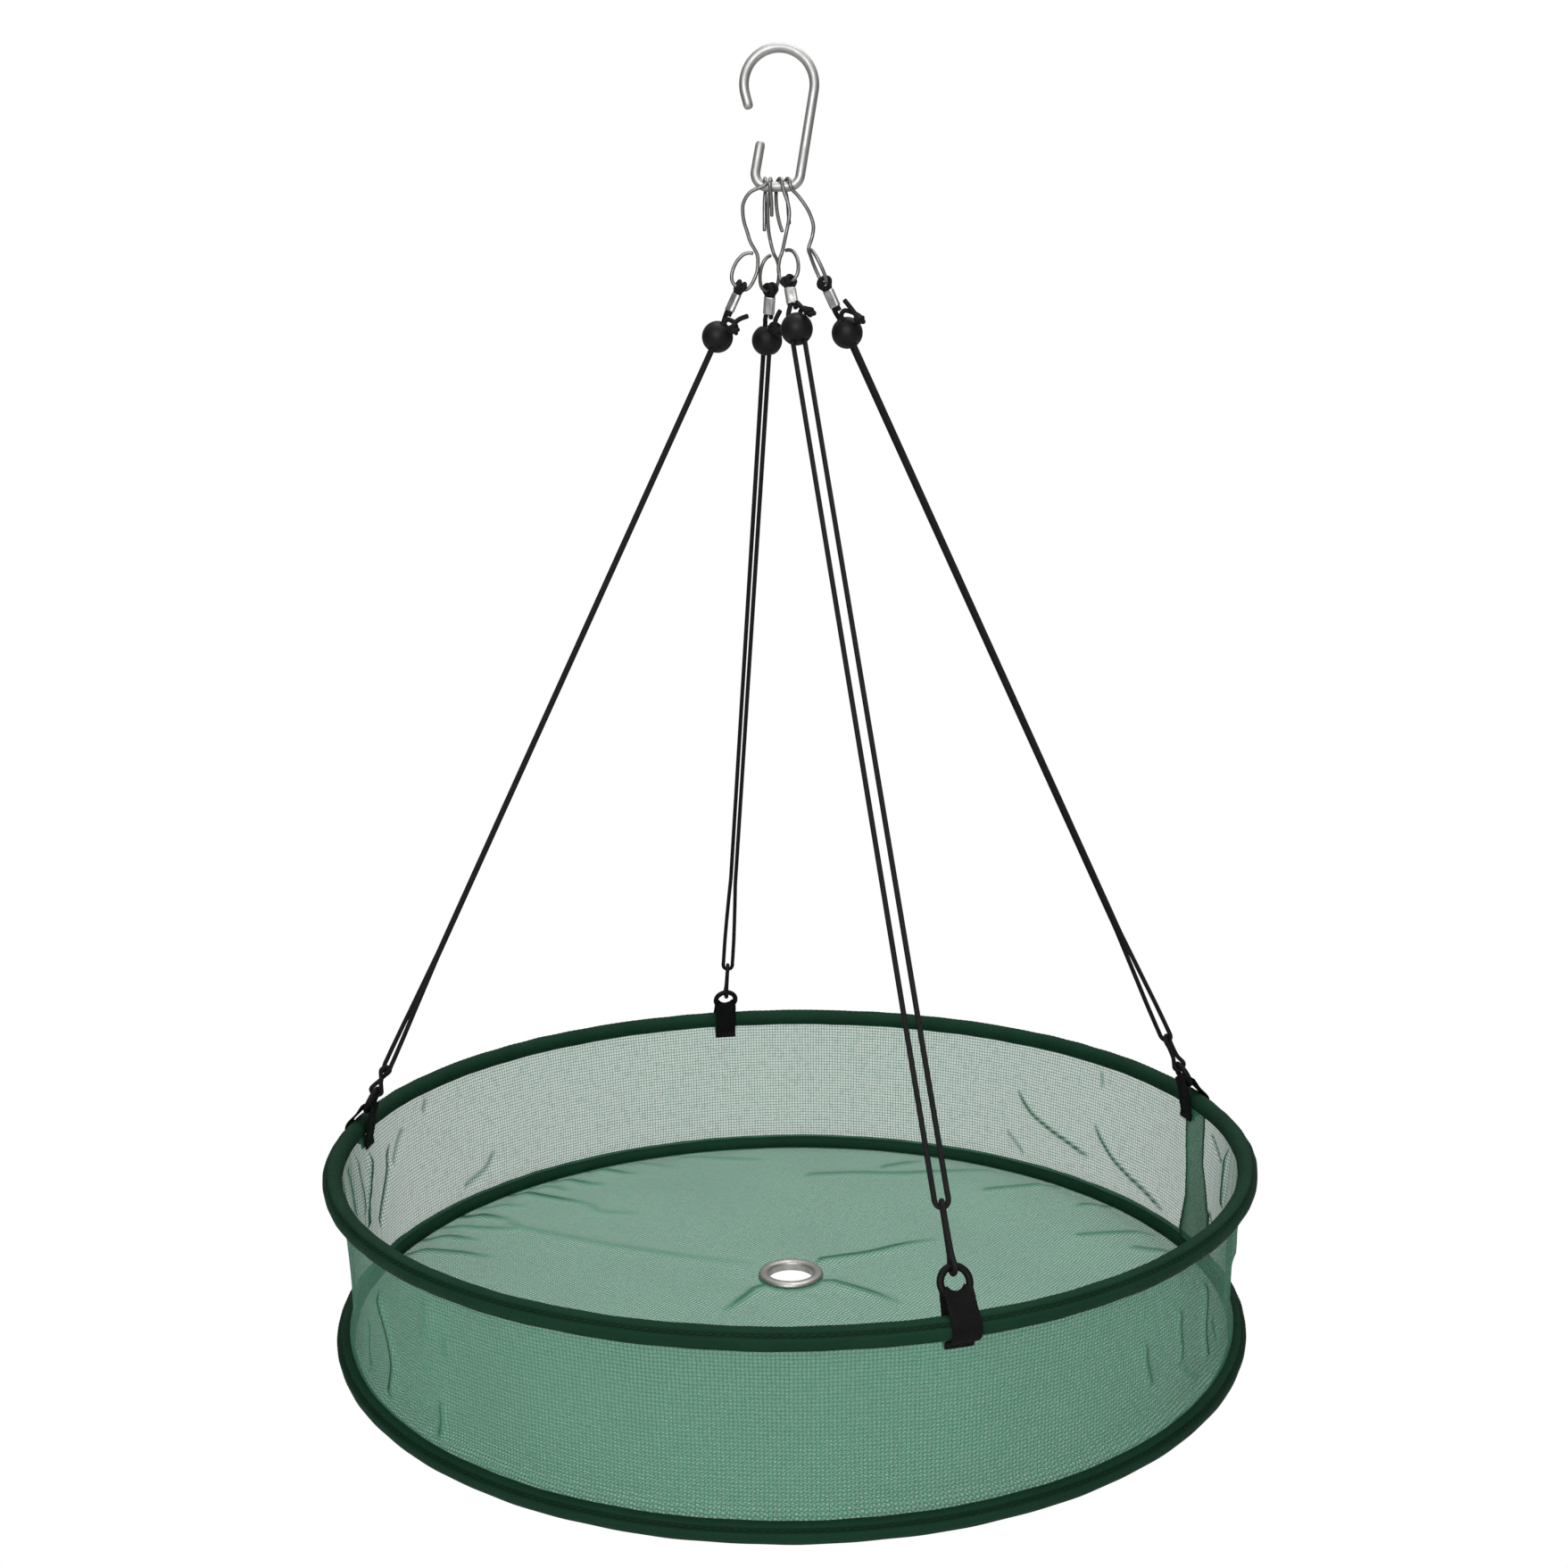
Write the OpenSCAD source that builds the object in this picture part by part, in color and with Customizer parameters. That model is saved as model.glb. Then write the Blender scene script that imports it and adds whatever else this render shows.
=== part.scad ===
// Hanging seed tray: a net wall and a net floor sewn to two sprung hoops, hung on four doubled cords
// from wire clips and one steel wire hook. Millimetres, +Z up, the front webbing tab on the -Y side.
// The origin is the hang point, at the top inside of the hook's large loop.

/* [Tray] */
// Outer diameter over the upper binding
tray_d = 400; // [340:1:460]
// How much smaller the lower hoop's radius is than the upper hoop's
lower_step = 2.5; // [0:0.5:6]
// Height between the two hoops' wires
tray_h = 70.5; // [60:0.5:110]
// Depth of the upper hoop's plane below the hang point
drop = 457; // [420:1:500]
// Outer diameter of the rolled binding round each hoop
binding_d = 8.7; // [7.5:0.1:10.5]
// Thickness of the net
net_t = 0.5; // [0.3:0.1:1]
// How far the wall is drawn in at half height
waist = 1.5; // [0:0.5:4]
// Distance of the wall's top edge inside the upper wire
wall_top_in = 2; // [1:0.5:3]
// Distance of the wall's bottom edge inside the lower wire
wall_low_in = 3; // [1:0.5:3.5]

/* [Hoops] */
// Diameter of the sprung hoop wire
hoop_wire_d = 3; // [2:0.1:3.6]
// Outer diameter of the ferrule that joins the wire's ends
ferrule_d = 4.6; // [4:0.1:5.6]
// Length of the ferrule
ferrule_l = 24; // [12:1:40]
// Direction of the ferrules, seen from above
ferrule_az = 225; // [200:1:250]
// Gap between the wire's two ends inside the ferrule
wire_gap = 1; // [0.5:0.5:3]

/* [Seam] */
// Width of the overlap where the wall's two ends are sewn
seam_w = 20; // [10:1:30]
// Direction of the seam, seen from above
seam_az = 9; // [-10:1:9]
// Space that the seam leaves below the upper binding
seam_top_gap = 0.5; // [0.3:0.1:1]

/* [Eyelet] */
// Outer diameter of the eyelet
eyelet_d = 29.5; // [26:0.5:36]
// Bore of the eyelet
eyelet_bore = 20; // [14:0.5:22]
// Wall of the eyelet's barrel
barrel_t = 0.6; // [0.4:0.1:1]
// Thickness of the washer under the floor
washer_t = 1; // [0.6:0.1:2]
// Height of the barrel's rolled lip under the washer
lip_h = 0.8; // [0.6:0.1:1.2]
// Distance of the eyelet behind the middle of the floor
eyelet_back = 15; // [0:1:30]

/* [Hook] */
// Diameter of the hook's wire
hook_wire_d = 4; // [3:0.5:5]
// Inner diameter of the large loop
hook_eye_d = 24.6; // [20:0.2:32]
// Depth of the lower straight, to the wire's centre
hook_drop = 52.3; // [46:0.1:64]
// Length of the lower straight that carries the clips
hook_flat = 8; // [7:0.5:14]
// Bend radius at each end of the lower straight, to the wire's centre
hook_bend_r = 5.2; // [3.5:0.1:7]
// Lean of the long leg
hook_lean = 10; // [4:1:14]
// Lean of the short end
hook_end_lean = 11; // [0:1:20]
// Length of the short end above the lower bend
hook_end_l = 10; // [7:1:16]
// Angle at which the large loop stops on its open side
hook_open_at = 195; // [180:1:210]
// Length of the straight tip at the open side
hook_tip_l = 4; // [2:0.5:8]

/* [Clips] */
// Diameter of the clips' spring wire
clip_wire_d = 1.5; // [1:0.1:1.6]
// Length of a clip, from the hook's wire to the bottom of its eye
clip_l = 41.2; // [39:0.1:46]
// Room between a clip's wire and the hook's wire
clip_fit = 0.4; // [0.2:0.1:0.6]

/* [Cords] */
// Diameter of the cord
cord_d = 2; // [1.6:0.1:2.1]
// Distance between a cord's two strands below its ball
strand_gap = 4.8; // [4.4:0.1:5.4]
// Room round a cord where it turns on a wire or a ring
turn_fit = 0.15; // [0.05:0.05:0.3]

/* [Sleeves] */
// Length of the crimped sleeve
sleeve_l = 7.5; // [6:0.5:7.5]
// Wall of the sleeve
sleeve_t = 0.35; // [0.2:0.05:0.6]
// Depth of the sleeve's top below the clip's eye
sleeve_top = 3; // [3:0.1:4]
// Distance between the sleeve's two bores
sleeve_gap = 2.1; // [2:0.1:2.6]

/* [Balls] */
// Diameter of the stop ball
ball_d = 13; // [11:0.5:13]
// Depth of the ball's centre below the clip's eye
ball_at = 22; // [22:0.5:26]
// Room round a cord in the ball's holes
ball_fit = 0.3; // [0.2:0.1:0.5]
// Diameter of the knot above the ball
knot_d = 4.4; // [4:0.1:4.6]

/* [Tabs] */
// Outer diameter of the tab ring
ring_d = 13.2; // [13:0.1:16]
// Thickness of the ring's rod
ring_rod_d = 2.6; // [2:0.1:2.8]
// Distance from the hoop's wire to the ring's centre
ring_rise = 14.2; // [13.8:0.1:18]
// Width of the webbing
web_w = 10.9; // [8:0.1:14]
// Width of the webbing where it is gathered through the ring
web_neck_w = 5.4; // [4:0.1:6]
// Thickness of the webbing
web_t = 1.1; // [0.8:0.1:1.4]
// Length of the webbing's outer leg below the binding
web_out_l = 4.3; // [3:0.1:8]
// Length of the webbing's inner leg below the binding
web_in_l = 4.5; // [3:0.5:12]
// Room between the webbing and the ring
web_fit = 0.15; // [0.1:0.05:0.3]

/* [Hidden] */

// The four lines, in this order
FRONT = 0;
RIGHT = 1;
BACK = 2;
LEFT = 3;
// Direction of each tab, seen from above
TAB_AZ = [-73, 14, 100.3, 174];
// Place of each clip along the hook's lower straight
CLIP_X = [0.6, 3.8, -3, -5.2];
// Lean of each clip to the right and to the back
CLIP_LEAN = [[5, -16], [21.5, 2], [-1, 18], [-15.5, 4]];
// Side of the hook on which each clip's short end hangs, and how far the turn over the hook runs sideways
END_SIDE = [1, 1, -1, 1];
CLIP_SKEW = [1.2, 1.2, 0.3, -0.2];
// Side to which each clip's eye is bent, and the turn of the eye about the cord's line
EYE_SIDE = [-1, -1, 1, 1];
EYE_TURN = [-35, -76, 35, 0];
// Way in which each cord is wound on its clip's eye
WIND = [1, 1, -1, -1];
// Turn of each pair of strands in its sleeve, in its ball and at its lower turn
SLEEVE_TURN = [for (i = [FRONT : LEFT]) EYE_TURN[i] + 45 * WIND[i]];
BALL_TURN = [0, -77, -60, -80];
BIGHT_TURN = [0, -30, 0, -50];
// Height of each cord's lower turn above the ring's centre
BIGHT_AT = [25, 19, 22, 15];

// Clip's short end and its body: across, through, down from the hook's wire
CLIP_END = [
    [[-0.7, 1.2, 18.5], [-1.5, 1.6, 14], [-1.9, 2.1, 8.5], [-1.7, 2.7, 3]],
    [[-4.6, 1.2, 13.5], [-3.5, 1.5, 10], [-2.2, 2, 6], [-1.4, 2.7, 2.5]],
    [[0.5, -1.4, 11], [0.4, -2, 6.5], [0.1, -2.7, 2.5]],
    [[4, 1, 16.5], [2.6, 1.4, 11.3], [1.3, 2, 6.3], [0.6, 2.7, 2.7]]];
CLIP_BODY = [
    [[1.6, -2.7, 4], [2.6, -2.1, 8], [2.9, -1.5, 12], [2.3, -1, 15.5], [1, -0.6, 20]],
    [[1.4, -2.7, 2.5], [2.6, -2.2, 5.2], [3.9, -1.8, 9.7], [4.5, -1.2, 14], [4.1, -0.8, 18.4], [2.2, -0.2, 22]],
    [[-0.6, 2.8, 3.5], [-1.1, 2.3, 8], [-1.1, 1.5, 13], [-0.7, 0.9, 18], [0.1, 0.5, 22]],
    [[-5.2, -2.7, 4], [-6.9, -1.8, 8.5], [-6.3, -1.3, 12.2], [-4.8, -0.8, 15.8], [-2.6, -0.4, 19.2], [-0.3, -0.2, 22.7]]];
// Clip's eye on the cord's line: across, up from its bottom
CLIP_EYE = [[0.6, 15.2], [2.4, 12.4], [3.7, 8.8], [4, 5.2], [3.6, 1.9], [2.3, 0], [0, 0], [-2.5, 0],
    [-4.6, 1.8], [-5.6, 5.2], [-5.5, 9], [-4.3, 12.3], [-2.7, 13.9], [-1.2, 14.5]];

// Each cord's tail, its turn in the knot and its way to the ball: across X, across Y, down from the clip's eye
CORD_TAIL = [
    [[0.6, -4.6, 10.4], [2.2, -5.1, 12.2], [3.6, -5.7, 14], [4.8, -6.4, 16], [5.8, -6, 17.3], [6.3, -4.8, 17.2],
        [6, -3.6, 16], [5, -2.2, 14.3], [3.8, -0.9, 13.4]],
    [[-1.1, -4.9, 8.8], [0.7, -5.2, 11], [2.6, -5.7, 13.3], [4.7, -6.2, 15.7], [6, -5.8, 17], [6.6, -4.7, 16.8],
        [6, -3.6, 15.5], [4.4, -3.2, 14], [2.8, -2.9, 13.4]],
    [[5.6, -5.2, 9.8], [4.8, -5.9, 11.8], [3.8, -6.6, 13.8], [3.2, -7.2, 15.8], [3.9, -7.2, 17.4], [5.1, -6.3, 17.6],
        [5.5, -5, 16.6], [4.9, -3.7, 15], [3.4, -3, 13.7]],
    [[12.2, -6.2, 13.1], [9.6, -6.5, 14.3], [7.2, -6.9, 15.8], [5.9, -7.2, 17.8], [6.4, -6.7, 19.6], [7.4, -5.5, 19.9],
        [7.4, -4.4, 18.4], [6, -3.9, 16.1], [4, -3.3, 14.2]]];
CORD_KNOT = [[5.2, -5.4, 16.9], [5.5, -5.2, 16.6], [3.9, -6.3, 16.7], [6.6, -5.7, 19.5]];
// Above the ball's hole: across X and Y from the hole, down from the clip's eye
CORD_RISE = [0.6, -0.3, 13.9];
// Strand through the ball: down from the clip's eye
BALL_RUN = [15, 16.2, 22, 29];
// Length of the cord's end below the sleeve
CORD_END = 1.5;
// Strand above the lower turn: up from it, share of the turn from the ball to the lower turn
LOW_RUN = [[60, 0], [45, 0.25], [32, 0.5], [20, 0.78], [10, 0.95], [4.5, 1]];
// Strand between the ball and the sleeve: part of the ball's spacing, down from the eye, share of
// the turn from the sleeve to the ball
NECK_RUN = [[1, 15, 1], [0.8, 13.4, 0.75], [0.52, 11.6, 0.25]];
// Half-turns of the cord on the clip's eye, steps in each, and length of the winding
WIND_HALVES = 3;
WIND_STEPS = 4;
wind_l = 3.4;

// Colours
STEEL = "silver";
CORD = [0.06, 0.06, 0.06];
BINDING = [0.09, 0.18, 0.13];
NET = [0.3, 0.55, 0.42, 0.5];

// Derived sizes
upper_r = (tray_d - binding_d) / 2;
lower_r = upper_r - lower_step;
upper_z = -drop;
lower_z = -drop - tray_h;
hem_fit = 0.15;
sew_fit = 0.05;
crimp_fit = 0.05;
body_fit = 0.3;
ring_r = (ring_d - ring_rod_d) / 2;
hook_loop_r = (hook_eye_d + hook_wire_d) / 2;
hook_loop_z = -hook_eye_d / 2;
hook_bend_z = hook_bend_r - hook_drop;
// The long leg is a common tangent of the large loop and the lower right bend
hook_bend_x = ((hook_loop_r - hook_bend_r) + (hook_bend_z - hook_loop_z) * sin(hook_lean)) / cos(hook_lean);
hook_mid_x = hook_bend_x - hook_flat / 2;
clip_turn_r = (hook_wire_d + clip_wire_d) / 2 + clip_fit;
wind_r = ((clip_wire_d + cord_d) / 2 + turn_fit) / cos(90 / WIND_STEPS);
link_low_r = (ring_rod_d + cord_d) / 2 + turn_fit;
link_top_r = cord_d + turn_fit;
link_pinch = cord_d / 2 + 0.2;
// How far the round rim bows away from the flat webbing over half its width
web_bow = web_w ^ 2 / (8 * upper_r);
$fn = 64;

// Vectors and frames
function unit(v) = v / norm(v);
function mix(a, b, share) = a + (b - a) * share;
// Two axes across a direction, the first one nearest to +X
function across(up) = let (x = unit([1, 0, 0] - up[0] * up)) [x, cross(up, x)];
// A point at p = [x, y] turned by an angle, and z along the direction, from an origin
function seat(origin, up, p, turn) = let (axes = across(up))
    origin + (p[0] * cos(turn) - p[1] * sin(turn)) * axes[0]
    + (p[0] * sin(turn) + p[1] * cos(turn)) * axes[1] + p[2] * up;

// The four lines
function clip_top(i) = let (past = max(0, abs(CLIP_X[i]) - hook_flat / 2))
    [hook_mid_x + CLIP_X[i], 0, hook_bend_z - sqrt(hook_bend_r ^ 2 - past ^ 2)];
function clip_down(i) = unit([tan(CLIP_LEAN[i][0]), tan(CLIP_LEAN[i][1]), -1]);
function clip_eye(i) = clip_top(i) + clip_l * clip_down(i);
function rim_point(i) = [upper_r * cos(TAB_AZ[i]), upper_r * sin(TAB_AZ[i]), upper_z];
function line_up(i) = unit(clip_eye(i) - rim_point(i));
function ring_centre(i) = rim_point(i) + ring_rise * line_up(i);
function rim_tangent(i) = [-sin(TAB_AZ[i]), cos(TAB_AZ[i]), 0];
// Turn of the rim's tangent about the line, brought within a quarter turn of zero
function ring_turn(i) = let (axes = across(line_up(i)), t = rim_tangent(i),
    a = atan((t * axes[1]) / (t * axes[0]))) a;

// A point of a cord, measured down from the clip's eye or up from the ring's centre
function from_eye(i, p, turn) = seat(clip_eye(i), line_up(i), [p[0], p[1], -p[2]], turn);
function from_ring(i, p, turn) = seat(ring_centre(i), line_up(i), p, turn);
function low_strand(i, side) = [for (p = LOW_RUN)
    from_ring(i, [side * strand_gap / 2, 0, BIGHT_AT[i] + p[0]], mix(BALL_TURN[i], BIGHT_TURN[i], p[1]))];
function ball_strand(i, side) = [for (t = BALL_RUN) from_eye(i, [side * strand_gap / 2, 0, t], BALL_TURN[i])];
function ball_rise(i) = let (a = BALL_TURN[i]) from_eye(i,
    [strand_gap / 2 * cos(a) + CORD_RISE[0], strand_gap / 2 * sin(a) + CORD_RISE[1], CORD_RISE[2]], 0);
function bight(i) = [for (k = [0 : 4]) let (a = 45 * k)
    from_ring(i, [strand_gap / 2 * cos(a), 0, BIGHT_AT[i] + strand_gap / 2 * (1 - sin(a))], BIGHT_TURN[i])];
function sleeve_strand(i, side, past) = [for (t = [sleeve_top + 0.2, sleeve_top + sleeve_l + past])
    from_eye(i, [side * sleeve_gap / 2, 0, t], SLEEVE_TURN[i])];
function neck_strand(i) = [for (p = NECK_RUN)
    from_eye(i, [-p[0] * strand_gap / 2, 0, p[1]], mix(SLEEVE_TURN[i], BALL_TURN[i], p[2]))];
function winding(i) = [for (k = [0 : WIND_HALVES * WIND_STEPS])
    let (share = k / (WIND_HALVES * WIND_STEPS), a = 190 - 180 * WIND_HALVES * share)
    from_eye(i, [wind_l * (share - 0.5), WIND[i] * wind_r * cos(a), -wind_r * sin(a)], EYE_TURN[i])];
function reversed(list) = [for (k = [len(list) - 1 : -1 : 0]) list[k]];
function cord_route(i) = concat(
    [for (p = CORD_TAIL[i]) from_eye(i, p, 0)], [ball_rise(i)],
    ball_strand(i, 1), low_strand(i, 1), bight(i), reversed(low_strand(i, -1)),
    reversed([for (k = [1 : len(BALL_RUN) - 1]) ball_strand(i, -1)[k]]), neck_strand(i),
    reversed(sleeve_strand(i, -1, -0.3)), winding(i), sleeve_strand(i, 1, CORD_END));

// The short loop between a ring and a cord's lower turn
function link_arc(r, z, from, to) = [for (k = [0 : 4]) let (a = from + (to - from) * k / 4) [r * cos(a), z + r * sin(a)]];
function link_outline(i) = concat(
    link_arc(link_low_r, ring_r, 180, 360),
    [[link_pinch, ring_r + 4.2], [link_pinch, BIGHT_AT[i] - 3.6]],
    link_arc(link_top_r, BIGHT_AT[i], 0, 180),
    [[-link_pinch, BIGHT_AT[i] - 3.6], [-link_pinch, ring_r + 4.2]]);
function link_share(i, z) = min(1, max(0, (z - ring_r) / (BIGHT_AT[i] - ring_r)));
function link_turn(i, z) = mix(ring_turn(i), BIGHT_TURN[i], link_share(i, z)) + 90;
function link_route(i) = [for (p = link_outline(i)) from_ring(i, [p[0], 0, p[1]], link_turn(i, p[1]))];
function link_sides(i) = [for (p = link_outline(i)) let (axes = across(line_up(i)), a = link_turn(i, p[1]) + 90)
    cos(a) * axes[0] + sin(a) * axes[1]];

// A clip's wire: its short end, its turn over the hook, its body and its eye
function clip_leg(i, list) = [for (p = list) seat(clip_top(i), -clip_down(i), [p[0], p[1], -p[2]], 0)];
function clip_over(i) = [for (k = [0 : 4])
    clip_top(i) + [-CLIP_SKEW[i] * cos(45 * k), END_SIDE[i] * clip_turn_r * cos(45 * k), clip_turn_r * sin(45 * k)]];
function clip_route(i) = concat(clip_leg(i, CLIP_END[i]), clip_over(i), clip_leg(i, CLIP_BODY[i]),
    [for (p = CLIP_EYE) from_eye(i, [EYE_SIDE[i] * p[0], 0, -p[1]], EYE_TURN[i])]);

// Smooth curve through points, with some steps in each span
function curve_at(a, b, c, d, t) = 0.5 * (2 * b + (c - a) * t + (2 * a - 5 * b + 4 * c - d) * t ^ 2
    + (3 * b - a - 3 * c + d) * t ^ 3);
function curve(p, steps) = let (n = len(p) - 1) concat(
    [for (k = [0 : n - 1]) for (j = [0 : steps - 1])
        curve_at(p[max(k - 1, 0)], p[k], p[k + 1], p[min(k + 2, n)], j / steps)],
    [p[n]]);

// Tube along points, its radius one number or one for each point
function headings(p, closed) = let (n = len(p)) [for (k = [0 : n - 1])
    closed ? unit(p[(k + 1) % n] - p[(k + n - 1) % n]) : unit(p[min(k + 1, n - 1)] - p[max(k - 1, 0)])];
function carried(h) = let (n = len(h)) [for (side = across(h[0])[1], k = 0; k < n;
    side = unit(side - (side * h[min(k + 1, n - 1)]) * h[min(k + 1, n - 1)]), k = k + 1) side];
module tube(p, r, sides, side_axes = undef) {
    n = len(p);
    closed = !is_undef(side_axes);
    h = headings(p, closed);
    s = closed ? [for (k = [0 : n - 1]) unit(side_axes[k] - (side_axes[k] * h[k]) * h[k])] : carried(h);
    points = [for (k = [0 : n - 1]) for (j = [0 : sides - 1]) let (a = 360 * j / sides)
        p[k] + (is_list(r) ? r[k] : r) * (cos(a) * s[k] + sin(a) * cross(h[k], s[k]))];
    walls = [for (k = [0 : closed ? n - 1 : n - 2]) for (j = [0 : sides - 1])
        let (m = (k + 1) % n, q = (j + 1) % sides)
        [k * sides + j, m * sides + j, m * sides + q, k * sides + q]];
    caps = closed ? [] : [[for (j = [0 : sides - 1]) j],
        [for (j = [sides - 1 : -1 : 0]) (n - 1) * sides + j]];
    polyhedron(points, concat(walls, caps), 10);
}

// Places a child made along +Z on line i, at a height above the ring's centre or the clip's eye
module on_line(origin, up, turn) {
    axes = across(up);
    x = cos(turn) * axes[0] + sin(turn) * axes[1];
    y = cross(up, x);
    multmatrix([[x[0], y[0], up[0], origin[0]], [x[1], y[1], up[1], origin[1]],
        [x[2], y[2], up[2], origin[2]]]) children();
}

// The hook's wire in its own plane, x and z: the open side's tip, the large loop, the lower bends, the short end
function hook_arc(x, z, r, from, to, steps) = [for (k = [0 : steps])
    let (a = from + (to - from) * k / steps) [x + r * cos(a), 0, z + r * sin(a)]];
function hook_route() = let (end_a = 180 - hook_end_lean, left_x = hook_bend_x - hook_flat,
    loop = hook_arc(0, hook_loop_z, hook_loop_r, hook_open_at, -hook_lean, 30),
    bends = concat(hook_arc(hook_bend_x, hook_bend_z, hook_bend_r, -hook_lean, -90, 8),
        hook_arc(left_x, hook_bend_z, hook_bend_r, 270, end_a, 10)))
    concat([loop[0] + hook_tip_l * [-sin(hook_open_at), 0, cos(hook_open_at)]], loop, bends,
        [bends[len(bends) - 1] + hook_end_l * [sin(hook_end_lean), 0, cos(hook_end_lean)]]);
// Round ends on a route: points and radii beyond its first and last points
END_RINGS = [25, 50, 75];
function with_ends(p, r) = let (n = len(p), a = unit(p[0] - p[1]), b = unit(p[n - 1] - p[n - 2])) concat(
    [for (t = reversed(END_RINGS)) p[0] + r * sin(t) * a], p, [for (t = END_RINGS) p[n - 1] + r * sin(t) * b]);
function end_radii(n, r) = concat([for (t = reversed(END_RINGS)) r * cos(t)], [for (k = [1 : n]) r],
    [for (t = END_RINGS) r * cos(t)]);

module hanging_hook() {
    route = hook_route();
    r = hook_wire_d / 2;
    color(STEEL) tube(with_ends(route, r), end_radii(len(route), r), 20);
}

module snap_clip(i) {
    color(STEEL) tube(curve(clip_route(i), 3), clip_wire_d / 2, 12);
}

// Oval outline round two round holes, r beyond each centre
module double_round(gap, r) {
    square([gap, 2 * r], center = true);
    for (side = [-1, 1]) translate([side * gap / 2, 0]) circle(r = r);
}

module crimp_sleeve(i) {
    bore_r = cord_d / 2 + crimp_fit;
    color(STEEL) on_line(clip_eye(i) - (sleeve_top + sleeve_l) * line_up(i), line_up(i), SLEEVE_TURN[i])
        linear_extrude(sleeve_l) difference() {
            double_round(sleeve_gap, bore_r + sleeve_t);
            double_round(sleeve_gap, bore_r);
        }
}

module cord(i) {
    color(CORD) tube(cord_route(i), cord_d / 2, 8);
}

module cord_knot(i) {
    color(CORD) translate(from_eye(i, CORD_KNOT[i], 0)) sphere(d = knot_d);
}

module stop_ball(i) {
    color(CORD) on_line(clip_eye(i) - ball_at * line_up(i), line_up(i), BALL_TURN[i]) difference() {
        rotate([90, 0, 0]) sphere(d = ball_d);
        for (side = [-1, 1]) translate([side * strand_gap / 2, 0, 0])
            cylinder(d = cord_d + 2 * ball_fit, h = 2 * ball_d, center = true);
    }
}

module link_loop(i) {
    color(CORD) tube(link_route(i), cord_d / 2, 8, link_sides(i));
}

// The ring stands on the line, with its axis across the rim
module ring_solid(i, extra = 0) {
    on_line(ring_centre(i), line_up(i), ring_turn(i)) rotate([90, 0, 0])
        rotate_extrude() translate([ring_r, 0]) circle(d = ring_rod_d + 2 * extra);
}
module tab_ring(i) {
    color(CORD) ring_solid(i);
}

// Webbing: its middle line in the plane across the rim, x outwards and y up from the hoop's wire
function web_arc(centre, r, from, to, steps) = [for (k = [0 : steps])
    let (a = from + (to - from) * k / steps) centre + r * [cos(a), sin(a)]];
function web_line(i) = let (
    lean = acos(line_up(i)[2]),
    low_r = (binding_d + web_t) / 2 + sew_fit + web_bow,
    top_r = (ring_rod_d + web_t) / 2 + web_fit,
    axis_l = ring_rise - ring_r,
    top = axis_l * [-sin(lean), cos(lean)],
    spread = acos((low_r - top_r) / axis_l)) concat(
    [leg_point(web_in_l, -1), leg_point(web_in_l / 3, -1)],
    web_arc([0, 0], low_r, 190, 90 + lean + spread, 2),
    web_arc(top, top_r, 90 + lean + spread, 90 + lean - spread, 10),
    web_arc([0, 0], low_r, 90 + lean - spread, -62, 12),
    [leg_point(web_out_l / 2, 1), leg_point(web_out_l, 1)]);
// Middle of a webbing leg lying on the wall, at a depth below the binding, inside (-1) or outside (1)
function leg_point(depth, side) = let (low = binding_d / 2 + depth, wall_x = wall_r(low / tray_h) - upper_r)
    [wall_x - net_t / 2 + side * ((net_t + web_t) / 2 + sew_fit + web_bow), -low];
// Closed outline at half the thickness to each side of a line
function thick_line(p, t) = let (n = len(p) - 1,
    side = [for (k = [0 : n]) let (d = unit(p[min(k + 1, n)] - p[max(k - 1, 0)])) t / 2 * [-d[1], d[0]]])
    concat([for (k = [0 : n]) p[k] + side[k]], reversed([for (k = [0 : n]) p[k] - side[k]]));

module rim_tab(i) {
    neck_at = ring_rise - ring_r - ring_rod_d / 2;
    color(CORD) difference() {
        intersection() {
            translate([upper_r * cos(TAB_AZ[i]), upper_r * sin(TAB_AZ[i]), upper_z]) rotate([90, 0, TAB_AZ[i]])
                linear_extrude(web_w, center = true) polygon(thick_line(web_line(i), web_t));
            on_line(rim_point(i), line_up(i), ring_turn(i)) {
                translate([-web_w, -ring_rise, -2 * ring_rise]) cube([2 * web_w, 2 * ring_rise, 2 * ring_rise + neck_at]);
                translate([-web_neck_w / 2, -ring_rise, 0]) cube([web_neck_w, 2 * ring_rise, ring_rise]);
            }
        }
        ring_solid(i, web_fit);
    }
}

// One hoop's pieces, at a radius and a height
module hoop_wire(r, z) {
    gap_a = wire_gap / r * 180 / PI;
    color(STEEL) translate([0, 0, z]) rotate([0, 0, ferrule_az + gap_a / 2])
        rotate_extrude(angle = 360 - gap_a, $fn = 180) translate([r, 0]) circle(d = hoop_wire_d, $fn = 32);
}
module hoop_span(r, z, l, outer_d, inner_d = 0) {
    span_a = l / r * 180 / PI;
    translate([0, 0, z]) rotate([0, 0, ferrule_az - span_a / 2])
        rotate_extrude(angle = span_a, $fn = 180) translate([r, 0]) difference() {
            circle(d = outer_d, $fn = 32);
            if (inner_d > 0) circle(d = inner_d, $fn = 32);
        }
}
module hoop_ferrule(r, z) {
    color(STEEL) hoop_span(r, z, ferrule_l, ferrule_d, hoop_wire_d + 2 * crimp_fit);
}
module hoop_binding(r, z) {
    color(BINDING) difference() {
        translate([0, 0, z]) rotate_extrude($fn = 180) translate([r, 0]) difference() {
            circle(d = binding_d, $fn = 48);
            circle(d = hoop_wire_d + 2 * hem_fit, $fn = 32);
        }
        hoop_span(r, z, ferrule_l + 2 * hem_fit, ferrule_d + 2 * hem_fit);
    }
}

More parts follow.
